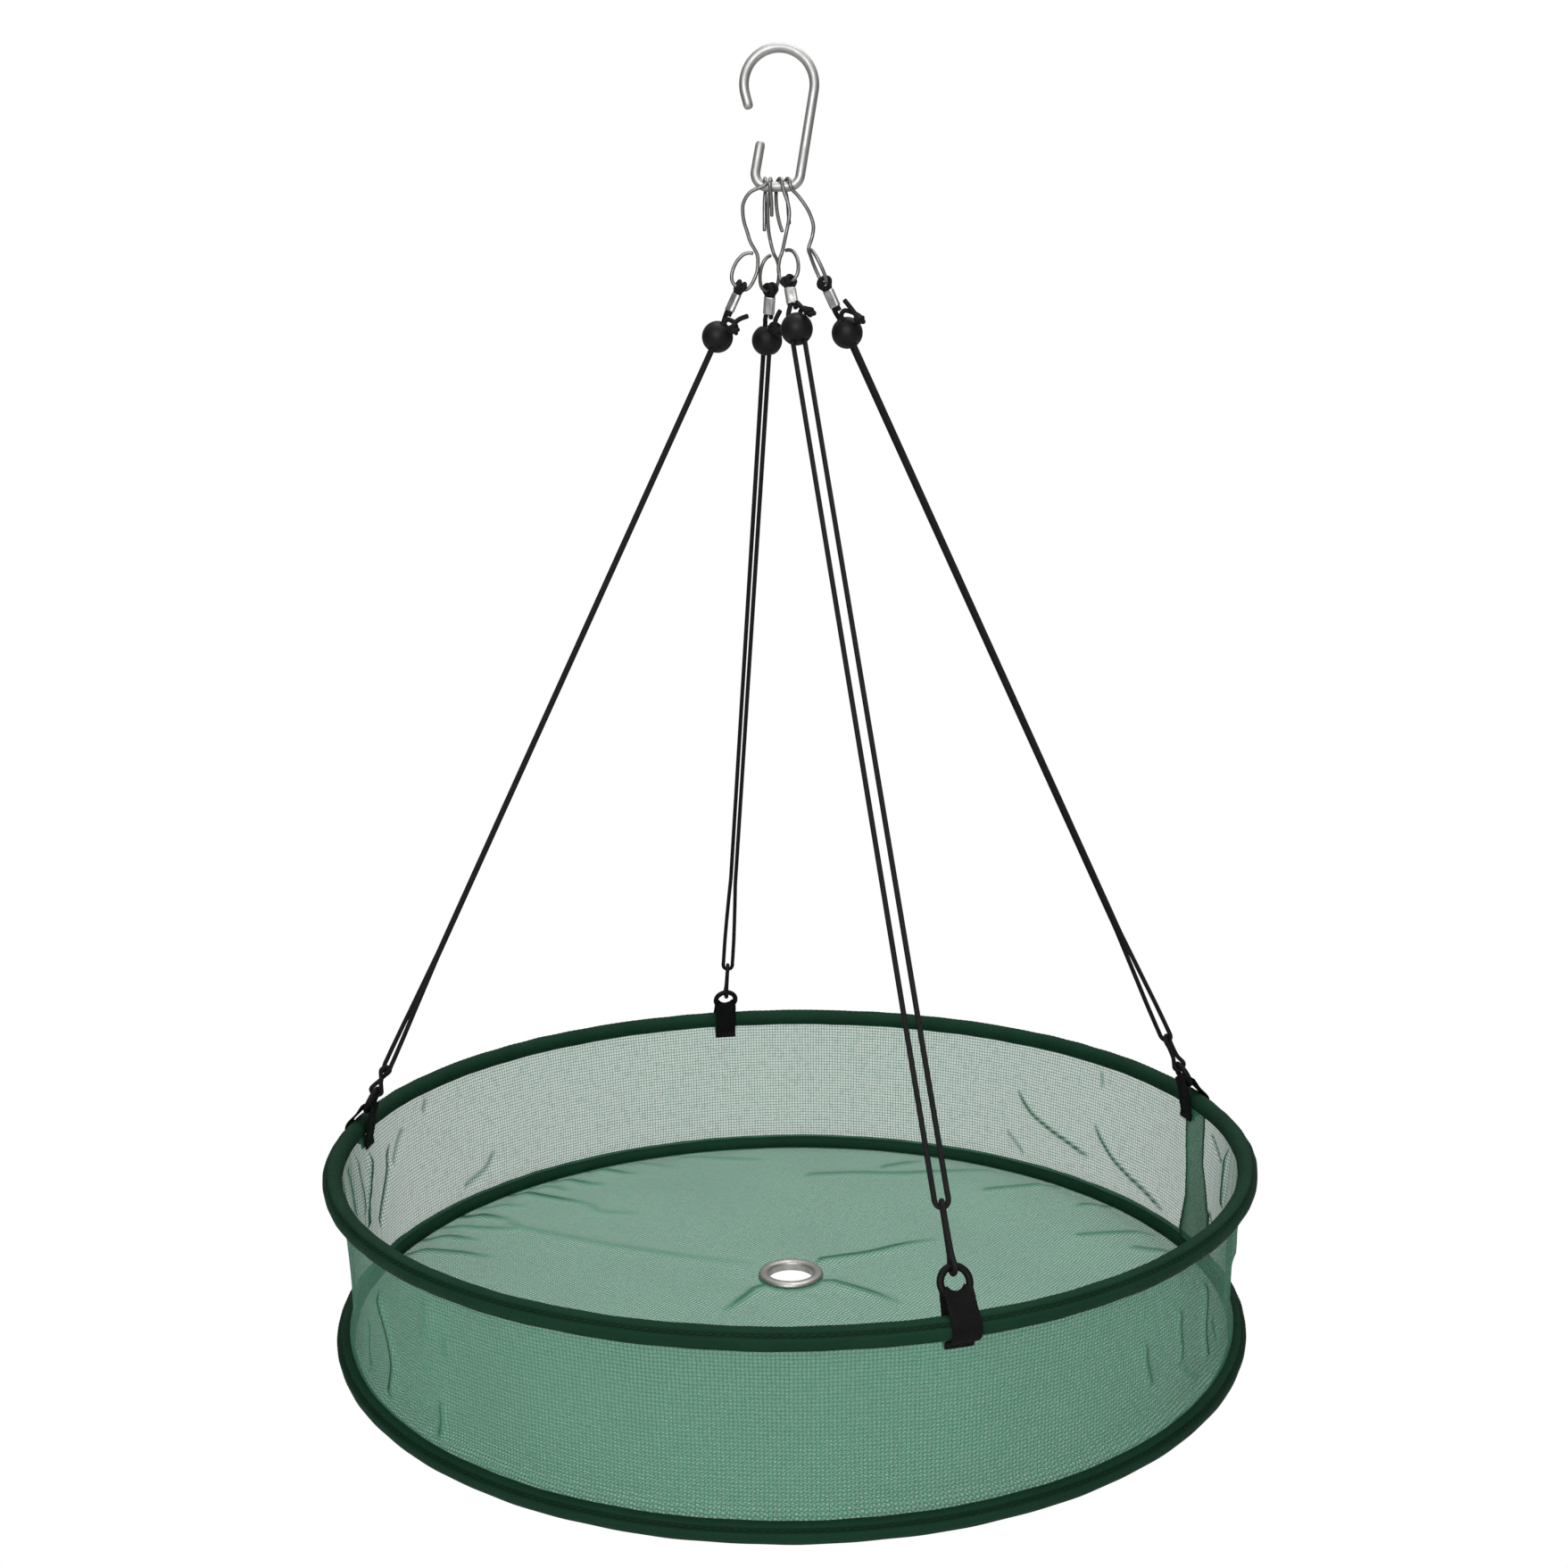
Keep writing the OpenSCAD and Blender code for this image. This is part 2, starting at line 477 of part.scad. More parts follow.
// Outer radius of the wall at a share of the way down: a shallow bow between the two hoops
function wall_r(share) = mix(upper_r - wall_top_in, lower_r - wall_low_in, share) - 4 * waist * share * (1 - share);
module wall_strip(inset, top_cut) {
    steps = 8;
    difference() {
        polygon(concat([for (k = [0 : steps]) [wall_r(k / steps) - inset, upper_z - tray_h * k / steps]],
            [for (k = [steps : -1 : 0]) [wall_r(k / steps) - inset - net_t, upper_z - tray_h * k / steps]]));
        translate([upper_r, upper_z]) circle(d = binding_d + 2 * top_cut, $fn = 48);
        translate([lower_r, lower_z]) circle(d = binding_d + 2 * body_fit, $fn = 48);
    }
}

module side_mesh() {
    color(NET) rotate_extrude($fn = 180) wall_strip(0, sew_fit);
}

module side_seam() {
    span_a = seam_w / wall_r(0.5) * 180 / PI;
    color(NET) rotate([0, 0, seam_az - span_a / 2]) rotate_extrude(angle = span_a, $fn = 180)
        wall_strip(net_t + sew_fit, seam_top_gap);
}

module floor_mesh() {
    color(NET) difference() {
        rotate_extrude($fn = 180) difference() {
            translate([0, lower_z - net_t / 2]) square([lower_r, net_t]);
            translate([lower_r, lower_z]) circle(d = binding_d + 2 * sew_fit, $fn = 48);
        }
        translate([0, eyelet_back, lower_z]) cylinder(d = eyelet_bore + 2 * (barrel_t + hem_fit), h = 4 * net_t, center = true);
    }
}

module eyelet() {
    roll_r = (eyelet_d - eyelet_bore) / 4;
    barrel_top = net_t / 2;
    barrel_low = -net_t / 2 - washer_t - lip_h;
    color(STEEL) translate([0, eyelet_back, lower_z]) rotate_extrude() {
        intersection() {
            translate([eyelet_bore / 2 + roll_r, barrel_top]) circle(r = roll_r);
            translate([0, barrel_top]) square(eyelet_d);
        }
        translate([eyelet_bore / 2, barrel_low]) square([barrel_t, barrel_top - barrel_low]);
        translate([eyelet_bore / 2, barrel_low]) square([3 * barrel_t, lip_h]);
    }
}

module eyelet_washer() {
    color(STEEL) translate([0, eyelet_back, lower_z - net_t / 2 - washer_t]) difference() {
        cylinder(d = eyelet_d, h = washer_t);
        translate([0, 0, -washer_t]) cylinder(d = eyelet_bore + 2 * (barrel_t + crimp_fit), h = 3 * washer_t);
    }
}

hanging_hook();
snap_clip(FRONT);  // snap_clip_front
snap_clip(RIGHT);  // snap_clip_right
snap_clip(BACK);  // snap_clip_back
snap_clip(LEFT);  // snap_clip_left
crimp_sleeve(FRONT);  // crimp_sleeve_front
crimp_sleeve(RIGHT);  // crimp_sleeve_right
crimp_sleeve(BACK);  // crimp_sleeve_back
crimp_sleeve(LEFT);  // crimp_sleeve_left
cord(FRONT);  // cord_front
cord(RIGHT);  // cord_right
cord(BACK);  // cord_back
cord(LEFT);  // cord_left
cord_knot(FRONT);  // cord_knot_front
cord_knot(RIGHT);  // cord_knot_right
cord_knot(BACK);  // cord_knot_back
cord_knot(LEFT);  // cord_knot_left
stop_ball(FRONT);  // stop_ball_front
stop_ball(RIGHT);  // stop_ball_right
stop_ball(BACK);  // stop_ball_back
stop_ball(LEFT);  // stop_ball_left
link_loop(FRONT);  // link_loop_front
link_loop(RIGHT);  // link_loop_right
link_loop(BACK);  // link_loop_back
link_loop(LEFT);  // link_loop_left
tab_ring(FRONT);  // tab_ring_front
tab_ring(RIGHT);  // tab_ring_right
tab_ring(BACK);  // tab_ring_back
tab_ring(LEFT);  // tab_ring_left
rim_tab(FRONT);  // rim_tab_front
rim_tab(RIGHT);  // rim_tab_right
rim_tab(BACK);  // rim_tab_back
rim_tab(LEFT);  // rim_tab_left
hoop_wire(upper_r, upper_z);  // upper_hoop_wire
hoop_ferrule(upper_r, upper_z);  // upper_hoop_ferrule
hoop_binding(upper_r, upper_z);  // upper_binding
hoop_wire(lower_r, lower_z);  // lower_hoop_wire
hoop_ferrule(lower_r, lower_z);  // lower_hoop_ferrule
hoop_binding(lower_r, lower_z);  // lower_binding
side_mesh();
side_seam();
floor_mesh();
eyelet();
eyelet_washer();
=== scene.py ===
# %% [markdown]
# # A hanging seed tray
# The real object is a round net tray. Two sprung wire hoops in green binding hold a net wall and a net
# floor, and four doubled black cords hang it from wire clips on one steel hook. The solids of the packed
# model are already in the right place, so this lesson makes the surfaces that show: thread, cloth, rubber
# and wire. Every shape is worked out in millimetres as numpy arrays, and turned into metres when it becomes
# a mesh.

# %% The frame and the tools
import math

import bpy
import numpy as np
from mathutils import Matrix


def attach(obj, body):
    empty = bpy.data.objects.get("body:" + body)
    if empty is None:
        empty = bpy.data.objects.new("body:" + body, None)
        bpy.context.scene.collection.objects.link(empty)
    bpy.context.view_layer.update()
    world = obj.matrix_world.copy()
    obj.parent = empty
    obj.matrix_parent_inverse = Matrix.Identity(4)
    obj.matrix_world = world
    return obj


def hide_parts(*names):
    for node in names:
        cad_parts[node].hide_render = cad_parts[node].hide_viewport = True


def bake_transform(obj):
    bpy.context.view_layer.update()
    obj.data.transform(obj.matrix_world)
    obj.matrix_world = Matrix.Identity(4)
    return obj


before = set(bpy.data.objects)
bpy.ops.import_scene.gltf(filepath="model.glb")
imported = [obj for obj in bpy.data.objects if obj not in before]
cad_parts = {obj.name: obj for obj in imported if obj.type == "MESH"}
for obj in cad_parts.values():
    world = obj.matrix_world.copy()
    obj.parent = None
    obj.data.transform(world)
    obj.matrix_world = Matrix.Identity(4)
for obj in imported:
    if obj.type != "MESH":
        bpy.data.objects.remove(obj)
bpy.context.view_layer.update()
MM = 0.001
print("solids:", len(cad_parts))

# %% [markdown]
# ## The view
# A camera is placed from three axes: where it looks, its right side and its up side. It looks along +Y,
# tipped down by eight degrees and rolled by half a degree, from the height of the cords' upper half.

# %% Camera
CAMERA_AT = np.array([-0.88, -745.05, -193.08])
CAMERA_PITCH = math.radians(8.1016)
CAMERA_ROLL = math.radians(-0.573)
LENS_MM, SENSOR_MM = 40.279, 36


def camera_axes():
    """The look direction tipped down by the pitch, then right and up turned about it by the roll."""
    look = np.array([0, math.cos(CAMERA_PITCH), -math.sin(CAMERA_PITCH)])
    right = np.array([1.0, 0, 0])
    up = np.cross(right, look)
    c, s = math.cos(CAMERA_ROLL), math.sin(CAMERA_ROLL)
    return c * right + s * up, c * up - s * right, look


def placed(x, y, z, at):
    """The matrix whose columns are three axes and a place."""
    matrix = np.eye(4)
    matrix[:3] = np.stack([x, y, z, at], 1)
    return Matrix(matrix.tolist())


def add_object(name, data):
    """An object for a mesh, a camera or a lamp, linked to the scene."""
    thing = bpy.data.objects.new(name, data)
    bpy.context.collection.objects.link(thing)
    return thing


right, up, look = camera_axes()
lens = bpy.data.cameras.new("camera")
lens.lens, lens.sensor_width = LENS_MM, SENSOR_MM
lens.clip_start, lens.clip_end = 0.01, 50
camera = add_object("camera", lens)
camera.matrix_world = placed(right, up, -look, CAMERA_AT * MM)
bpy.context.scene.camera = camera
bpy.context.view_layer.update()
print("camera at", np.round(CAMERA_AT * MM, 3))

# %% [markdown]
# ## Numbers that the whole tray shares
# The lines are numbered front, right, back and left. Each line runs from a clip's eye on the hook down to a
# point of the upper hoop, and all that hangs on it is placed along it. Angles are in degrees.

# %% Sizes and the four lines
SIDES = ("front", "right", "back", "left")
TRAY_D, BINDING_D, LOWER_STEP, TRAY_H, DROP = 400, 8.7, 2.5, 70.5, 457
UPPER_R = (TRAY_D - BINDING_D) / 2
LOWER_R = UPPER_R - LOWER_STEP
LOWER_Z = -DROP - TRAY_H
HOOK_WIRE_D, HOOK_EYE_D, HOOK_DROP, HOOK_FLAT, HOOK_BEND_R = 4, 24.6, 52.3, 8, 5.2
HOOK_LEAN, HOOK_END_LEAN, HOOK_END_L, HOOK_OPEN_AT, HOOK_TIP_L = 10, 11, 10, 195, 4
CLIP_WIRE_D, CLIP_L, CLIP_FIT = 1.5, 41.2, 0.4
CORD_D, STRAND_GAP, TURN_FIT = 2, 4.8, 0.15
SLEEVE_L, SLEEVE_T, SLEEVE_TOP, SLEEVE_GAP = 7.5, 0.35, 3, 2.1
BALL_D, BALL_AT = 13, 22
RING_D, RING_ROD_D, RING_RISE = 13.2, 2.6, 14.2
RING_R = (RING_D - RING_ROD_D) / 2
# One number or pair for each line: where it meets the rim, where and how its clip hangs, on which side the
# clip's short end, eye and winding are, how far the eye, sleeve, ball and lower turn are turned about the
# line, and how high the lower turn is above the ring.
TAB_AZ = [-73, 14, 100.3, 174]
CLIP_X = [0.6, 3.8, -3, -5.2]
CLIP_LEAN = [[5, -16], [21.5, 2], [-1, 18], [-15.5, 4]]
END_SIDE = [1, 1, -1, 1]
CLIP_SKEW = [1.2, 1.2, 0.3, -0.2]
EYE_SIDE = [-1, -1, 1, 1]
EYE_TURN = [-35, -76, 35, 0]
WIND = [1, 1, -1, -1]
SLEEVE_TURN = [EYE_TURN[i] + 45 * WIND[i] for i in range(4)]
BALL_TURN = [0, -77, -60, -80]
BIGHT_TURN = [0, -30, 0, -50]
BIGHT_AT = [25, 19, 22, 15]


def unit(v):
    """A vector, or each row of an array of them, divided by its length."""
    v = np.asarray(v, float)
    return v / np.linalg.norm(v, axis=-1, keepdims=True)


def sin(degrees):
    return np.sin(np.radians(degrees))


def cos(degrees):
    return np.cos(np.radians(degrees))


def columns(*values):
    """Arrays and numbers stretched to one shape and set side by side, such as x, y and z."""
    return np.stack(np.broadcast_arrays(*values), -1)


def across(up):
    """Two axes square to a direction: the one nearest to +X, and the one square to both."""
    x = unit(np.array([1.0, 0, 0]) - up[0] * up)
    return x, np.cross(up, x)


def seat(origin, up, p, turn=0):
    """Points (x, y, along) on a line: x and y are turned about it, and along is measured up it."""
    p = np.atleast_2d(np.asarray(p, float))
    c, s = cos(turn)[..., None], sin(turn)[..., None]
    x, y = across(up)
    a, b = p[..., :1] * c - p[..., 1:2] * s, p[..., :1] * s + p[..., 1:2] * c
    return origin + a * x + b * y + p[..., 2:] * up


def clip_top(i):
    """Where a clip hangs on the hook: on the lower straight, or on the bend past its end."""
    past = max(0, abs(CLIP_X[i]) - HOOK_FLAT / 2)
    return np.array([HOOK_MID_X + CLIP_X[i], 0, HOOK_BEND_Z - math.sqrt(HOOK_BEND_R**2 - past**2)])


HOOK_LOOP_R, HOOK_LOOP_Z = (HOOK_EYE_D + HOOK_WIRE_D) / 2, -HOOK_EYE_D / 2
HOOK_BEND_Z = HOOK_BEND_R - HOOK_DROP
HOOK_BEND_X = (HOOK_LOOP_R - HOOK_BEND_R + (HOOK_BEND_Z - HOOK_LOOP_Z) * sin(HOOK_LEAN)) / cos(HOOK_LEAN)
HOOK_MID_X = HOOK_BEND_X - HOOK_FLAT / 2
CLIP_DOWN = [unit([*np.tan(np.radians(lean)), -1]) for lean in CLIP_LEAN]
EYE = [clip_top(i) + CLIP_L * CLIP_DOWN[i] for i in range(4)]
RIM = [np.array([UPPER_R * cos(a), UPPER_R * sin(a), -DROP]) for a in TAB_AZ]
LINE_UP = [unit(EYE[i] - RIM[i]) for i in range(4)]
RING_AT = [RIM[i] + RING_RISE * LINE_UP[i] for i in range(4)]


def ring_turn(i):
    """Turn about the line that brings the ring's face along the rim, within a quarter turn of zero."""
    x, y = across(LINE_UP[i])
    tangent = np.array([-sin(TAB_AZ[i]), cos(TAB_AZ[i]), 0])
    return math.degrees(math.atan((tangent @ y) / (tangent @ x)))


def from_eye(i, p, turn=0):
    """Points measured down from the clip's eye."""
    return seat(EYE[i], LINE_UP[i], np.asarray(p) * [1, 1, -1], turn)


def from_ring(i, p, turn=0):
    """Points measured up from the ring's centre."""
    return seat(RING_AT[i], LINE_UP[i], p, turn)


for i, side in enumerate(SIDES):
    print(side, "line from", np.round(EYE[i], 1), "to", np.round(RIM[i], 1))

# %% [markdown]
# ## From arrays to meshes
# Nearly every piece is a grid of points: rows along it and columns across or around it. One helper turns
# such a grid into faces, closes it where it wraps round, caps open ends, and writes a UV map. The map is in
# millimetres, so that a weave has the same size on every piece; only round a tube it counts turns. A piece
# that has the name of a solid stands for that solid.


# %% Mesh helpers
def corners(rows, cols, closed):
    """Row and column numbers of each face's corners, not yet wrapped, so a UV can run on past a seam."""
    i, j = np.meshgrid(np.arange(rows - (not closed)), np.arange(cols), indexing="ij")
    return columns(i, i, i + 1, i + 1).reshape(-1, 4), columns(j, j + 1, j + 1, j).reshape(-1, 4)


def new_mesh(name, grids):
    """One mesh from several grids, each (points, uv, closed, flipped).

    points is rows x columns x 3 in mm. The columns always wrap round. The rows wrap where the grid is closed,
    and otherwise both ends are capped. uv has a row or column more where the grid wraps.
    """
    verts, faces, uvs, base = [], [], [], 0
    for points, uv, closed, flipped in grids:
        rows, cols = points.shape[:2]
        step = -1 if flipped else 1
        row, col = (numbers[:, ::step] for numbers in corners(rows, cols, closed))
        faces += (base + (row % rows) * cols + col % cols).tolist()
        uvs.append(uv[row, col].reshape(-1, 2))
        if not closed:
            for at, order in ((0, np.arange(cols)[::-step]), (rows - 1, np.arange(cols)[::step])):
                faces.append((base + at * cols + order).tolist())
                uvs.append(uv[at, order])
        verts.append(points.reshape(-1, 3))
        base += rows * cols
    mesh = bpy.data.meshes.new(name)
    mesh.from_pydata((np.concatenate(verts) * MM).tolist(), [], faces)
    layer = mesh.uv_layers.new(name="cloth_mm")
    layer.data.foreach_set("uv", np.concatenate(uvs).astype(np.float32).ravel())
    mesh.polygons.foreach_set("use_smooth", np.ones(len(mesh.polygons), bool))
    return mesh


def make_piece(name, grids, material, slot, body, **values):
    """A piece with its material and its body; values hold one number per point. The slot is not used."""
    mesh = new_mesh(name, grids)
    for key, value in values.items():
        attribute = mesh.attributes.new(key, "FLOAT", "POINT")
        attribute.data.foreach_set("value", np.asarray(value, np.float32).ravel())
    mesh.update()
    mesh.materials.append(material)
    piece = add_object(name, mesh)
    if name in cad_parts:
        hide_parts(name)
    if body:
        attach(piece, body)
    return piece


def full_turn(n):
    """Evenly spaced angles round a circle, in radians."""
    return 2 * np.pi * np.arange(n) / n


def even_map(rows, cols, row_mm, col_mm):
    """A map for even rows and columns, with the one column more that the wrap needs."""
    return columns(np.arange(cols + 1) * col_mm, np.arange(rows)[:, None] * row_mm)


def along(points):
    """Distance travelled at each point of a path."""
    return np.concatenate([[0], np.cumsum(np.linalg.norm(np.diff(points, axis=0), axis=1))])


def split_long(points, longest):
    """A path with extra points, so that no straight stretch is longer than that."""
    out = [points[:1]]
    for a, b in zip(points[:-1], points[1:]):
        n = max(1, math.ceil(np.linalg.norm(b - a) / longest))
        out.append(a + (b - a) * np.arange(1, n + 1)[:, None] / n)
    return np.concatenate(out)


def curve(points, steps):
    """Smooth path through points: each span is the cubic set by its ends and their neighbours."""
    p = np.concatenate([points[:1], points, points[-1:]])
    t = (np.arange(steps) / steps)[None, :, None]
    a, b, c, d = (p[k : len(p) - 3 + k][:, None] for k in range(4))
    cubic = 2 * b + (c - a) * t + (2 * a - 5 * b + 4 * c - d) * t**2 + (3 * b - a - 3 * c + d) * t**3
    return np.concatenate([(0.5 * cubic).reshape(-1, points.shape[1]), points[-1:]])


def carried_sides(heading, first):
    """A side axis for each heading, carried along a path without twist by dropping what points ahead."""
    sides = [unit(first - (first @ heading[0]) * heading[0])]
    for h in heading[1:]:
        sides.append(unit(sides[-1] - (sides[-1] @ h) * h))
    return np.array(sides)


ROUND_END = np.array([30, 60, 85])


def tube_grid(path, radius, around, ends=0.0, closed=False):
    """A round tube: centre + r (cos a side + sin a other) for a full turn of a at each point of the path.

    ends is how far a rounded end reaches past the path's end, as a part of the radius.
    """
    size = np.ones(len(path))
    if ends:
        reach, narrow = radius * ends * sin(ROUND_END)[:, None], cos(ROUND_END) ** 0.5
        first, last = unit(path[0] - path[1]), unit(path[-1] - path[-2])
        path = np.concatenate([path[0] + reach[::-1] * first, path, path[-1] + reach * last])
        size = np.concatenate([narrow[::-1], size, narrow])
    heading = unit(np.roll(path, -1, 0) - np.roll(path, 1, 0) if closed else np.gradient(path, axis=0))
    side = carried_sides(heading, across(heading[0])[1])
    other = np.cross(heading, side)
    if closed:  # the leftover twist is shared out over the loop
        end = unit(side[-1] - (side[-1] @ heading[0]) * heading[0])
        twist = math.atan2(end @ other[0], end @ side[0])
        share = -twist * np.arange(len(path)) / len(path)
        c, s = np.cos(share)[:, None], np.sin(share)[:, None]
        side, other = c * side + s * other, c * other - s * side
    a = full_turn(around)[:, None]
    ring = np.cos(a) * side[:, None] + np.sin(a) * other[:, None]
    lap = np.concatenate([path, path[:1]]) if closed else path
    uv = columns(np.arange(around + 1) / around, along(lap)[:, None])
    return path[:, None] + (radius * size)[:, None, None] * ring, uv, closed, False


print("tube rings at a rounded end:", len(ROUND_END))

# %% [markdown]
# ## The cords
# Each line is one length of soft 2 mm cord. It starts in the sleeve, winds three half turns on the clip's
# eye, goes back through the sleeve, down through the ball, round the small loop at the bottom, up through
# the ball's other hole, and ends in a knot with a short tail. It is held taut by the tray, so its long runs
# are straight. A tube swept along a path is the plain way to make it. The path is smoothed before the
# sweep.

# %% Cord routes
CORD_TAIL = [
    [[1.4, -4.6, 12.9], [3.1, -5.7, 16.4], [4.3, -6.6, 18.1], [5.2, -7.9, 18.5], [6.2, -7.5, 19.8],
     [6.7, -6.3, 19.7], [6.4, -4.8, 18], [5.2, -2.8, 15.2], [3.8, -0.9, 13.4]],
    [[4.4, -4.9, 9.8], [5.4, -5.4, 13.6], [6, -6.2, 16.6], [5.9, -6.9, 18.4], [7.2, -6.5, 19.7],
     [7.8, -5.4, 19.5], [7, -4.3, 17.6], [5, -3.6, 15], [2.8, -2.9, 13.4]],
    [[4.5, -5.2, 7.1], [3, -6, 10.4], [2.8, -6.7, 12.8], [3.1, -7.2, 14.4], [3.9, -7.2, 16.1],
     [5.1, -6.3, 16.3], [5.5, -5, 15.5], [4.9, -3.8, 14.4], [3.4, -3, 13.7]],
    [[7.9, -6.2, 9.5], [5.6, -6.5, 11.9], [4.5, -7, 14.2], [4.5, -7.8, 15.5], [5, -7.3, 17.1],
     [6, -6.1, 17.4], [6, -5, 15.9], [4.9, -4.2, 14.6], [3.6, -3.4, 13.8]]]
CORD_KNOT = [[5.6, -6.7, 19.2], [6.7, -5.9, 19.2], [3.9, -6.3, 15.5], [5.2, -6.3, 16.9]]
CORD_RISE = [0.6, -0.3, 13.9]
BALL_RUN = [15, 16.2, 22, 29]
CORD_END, SLEEVE_STEP = 1.5, 0.2
LOW_RUN = [[60, 0], [45, 0.25], [32, 0.5], [20, 0.78], [10, 0.95], [4.5, 1]]
NECK_RUN = [[1, 15, 1], [0.8, 13.4, 0.75], [0.52, 11.6, 0.25]]
LINK_LOW, LINK_TOP, LINK_PINCH = 4.2, 3.6, CORD_D / 2 + 0.2
WIND_HALVES, WIND_STEPS, WIND_L, WIND_FROM = 3, 4, 3.4, 190
WIND_R = ((CLIP_WIRE_D + CORD_D) / 2 + TURN_FIT) / cos(90 / WIND_STEPS)
HALF_CIRCLE = 45 * np.arange(5)


def mix(a, b, share):
    return a + (b - a) * share


def low_strand(i, side):
    """The strand above the lower turn, turned from the ball's direction to the lower turn's."""
    rise, share = np.array(LOW_RUN).T
    p = columns(side * STRAND_GAP / 2, 0, BIGHT_AT[i] + rise)
    return from_ring(i, p, mix(BALL_TURN[i], BIGHT_TURN[i], share))


def ball_strand(i, side, skip=0):
    return from_eye(i, columns(side * STRAND_GAP / 2, 0, BALL_RUN[skip:]), BALL_TURN[i])


def ball_rise(i):
    x, y = STRAND_GAP / 2 * cos(BALL_TURN[i]), STRAND_GAP / 2 * sin(BALL_TURN[i])
    return from_eye(i, np.add([x, y, 0], CORD_RISE))


def bight(i):
    """The lower turn: a half circle whose ends are the two strands."""
    r, a = STRAND_GAP / 2, HALF_CIRCLE
    return from_ring(i, columns(r * cos(a), 0, BIGHT_AT[i] + r * (1 - sin(a))), BIGHT_TURN[i])


def sleeve_strand(i, side, past):
    run = [SLEEVE_TOP + SLEEVE_STEP, SLEEVE_TOP + SLEEVE_L + past]
    return from_eye(i, columns(side * SLEEVE_GAP / 2, 0, run), SLEEVE_TURN[i])


def neck_strand(i):
    """The strand between the sleeve and the ball, turned from the one's direction to the other's."""
    out, down, share = np.array(NECK_RUN).T
    return from_eye(i, columns(-out * STRAND_GAP / 2, 0, down), mix(SLEEVE_TURN[i], BALL_TURN[i], share))


def winding(i):
    """Half turns round the clip's wire that step along it as they go."""
    share = np.arange(WIND_HALVES * WIND_STEPS + 1) / (WIND_HALVES * WIND_STEPS)
    a = WIND_FROM - 180 * WIND_HALVES * share
    p = columns(WIND_L * (share - 0.5), WIND[i] * WIND_R * cos(a), -WIND_R * sin(a))
    return from_eye(i, p, EYE_TURN[i])


def cord_route(i):
    """The whole cord, from its tail above the ball to its end below the sleeve."""
    return np.concatenate([
        from_eye(i, CORD_TAIL[i]), ball_rise(i), ball_strand(i, 1), low_strand(i, 1), bight(i),
        low_strand(i, -1)[::-1], ball_strand(i, -1, 1)[::-1], neck_strand(i),
        sleeve_strand(i, -1, -0.3)[::-1], winding(i), sleeve_strand(i, 1, CORD_END)])


def link_route(i):
    """The small loop: a half circle in the ring, two pinched strands, and one round the cord's turn."""
    low_r, top_r, a = (RING_ROD_D + CORD_D) / 2 + TURN_FIT, CORD_D + TURN_FIT, HALF_CIRCLE
    low, top, pinch = RING_R + LINK_LOW, BIGHT_AT[i] - LINK_TOP, LINK_PINCH
    x, z = np.concatenate([
        columns(low_r * cos(180 + a), RING_R + low_r * sin(180 + a)), [[pinch, low], [pinch, top]],
        columns(top_r * cos(a), BIGHT_AT[i] + top_r * sin(a)), [[-pinch, top], [-pinch, low]]]).T
    share = np.clip((z - RING_R) / (BIGHT_AT[i] - RING_R), 0, 1)
    return from_ring(i, columns(x, 0, z), mix(ring_turn(i), BIGHT_TURN[i], share) + 90)


def closed_curve(loop, steps):
    """A curve whose ends know their neighbours past the seam: two points before and three after are cut."""
    return curve(np.concatenate([loop[-2:], loop, loop[:3]]), steps)[2 * steps : -3 * steps]


CORD_PATHS = [curve(split_long(cord_route(i), 9), 3) for i in range(4)]
LINK_PATHS = [closed_curve(link_route(i), 6) for i in range(4)]
for side, cord, loop in zip(SIDES, CORD_PATHS, LINK_PATHS):
    print(side, "cord is", round(along(cord)[-1]), "mm, its loop", round(along(loop)[-1]), "mm")

# %% [markdown]
# ## Patterns that several finishes use
# A pattern is a group of nodes with named inputs and outputs, built once. A material places the group and
# keeps its own colours. The groups here are the holes of a net, a plain weave, and the slow blotches of
# worn surfaces.


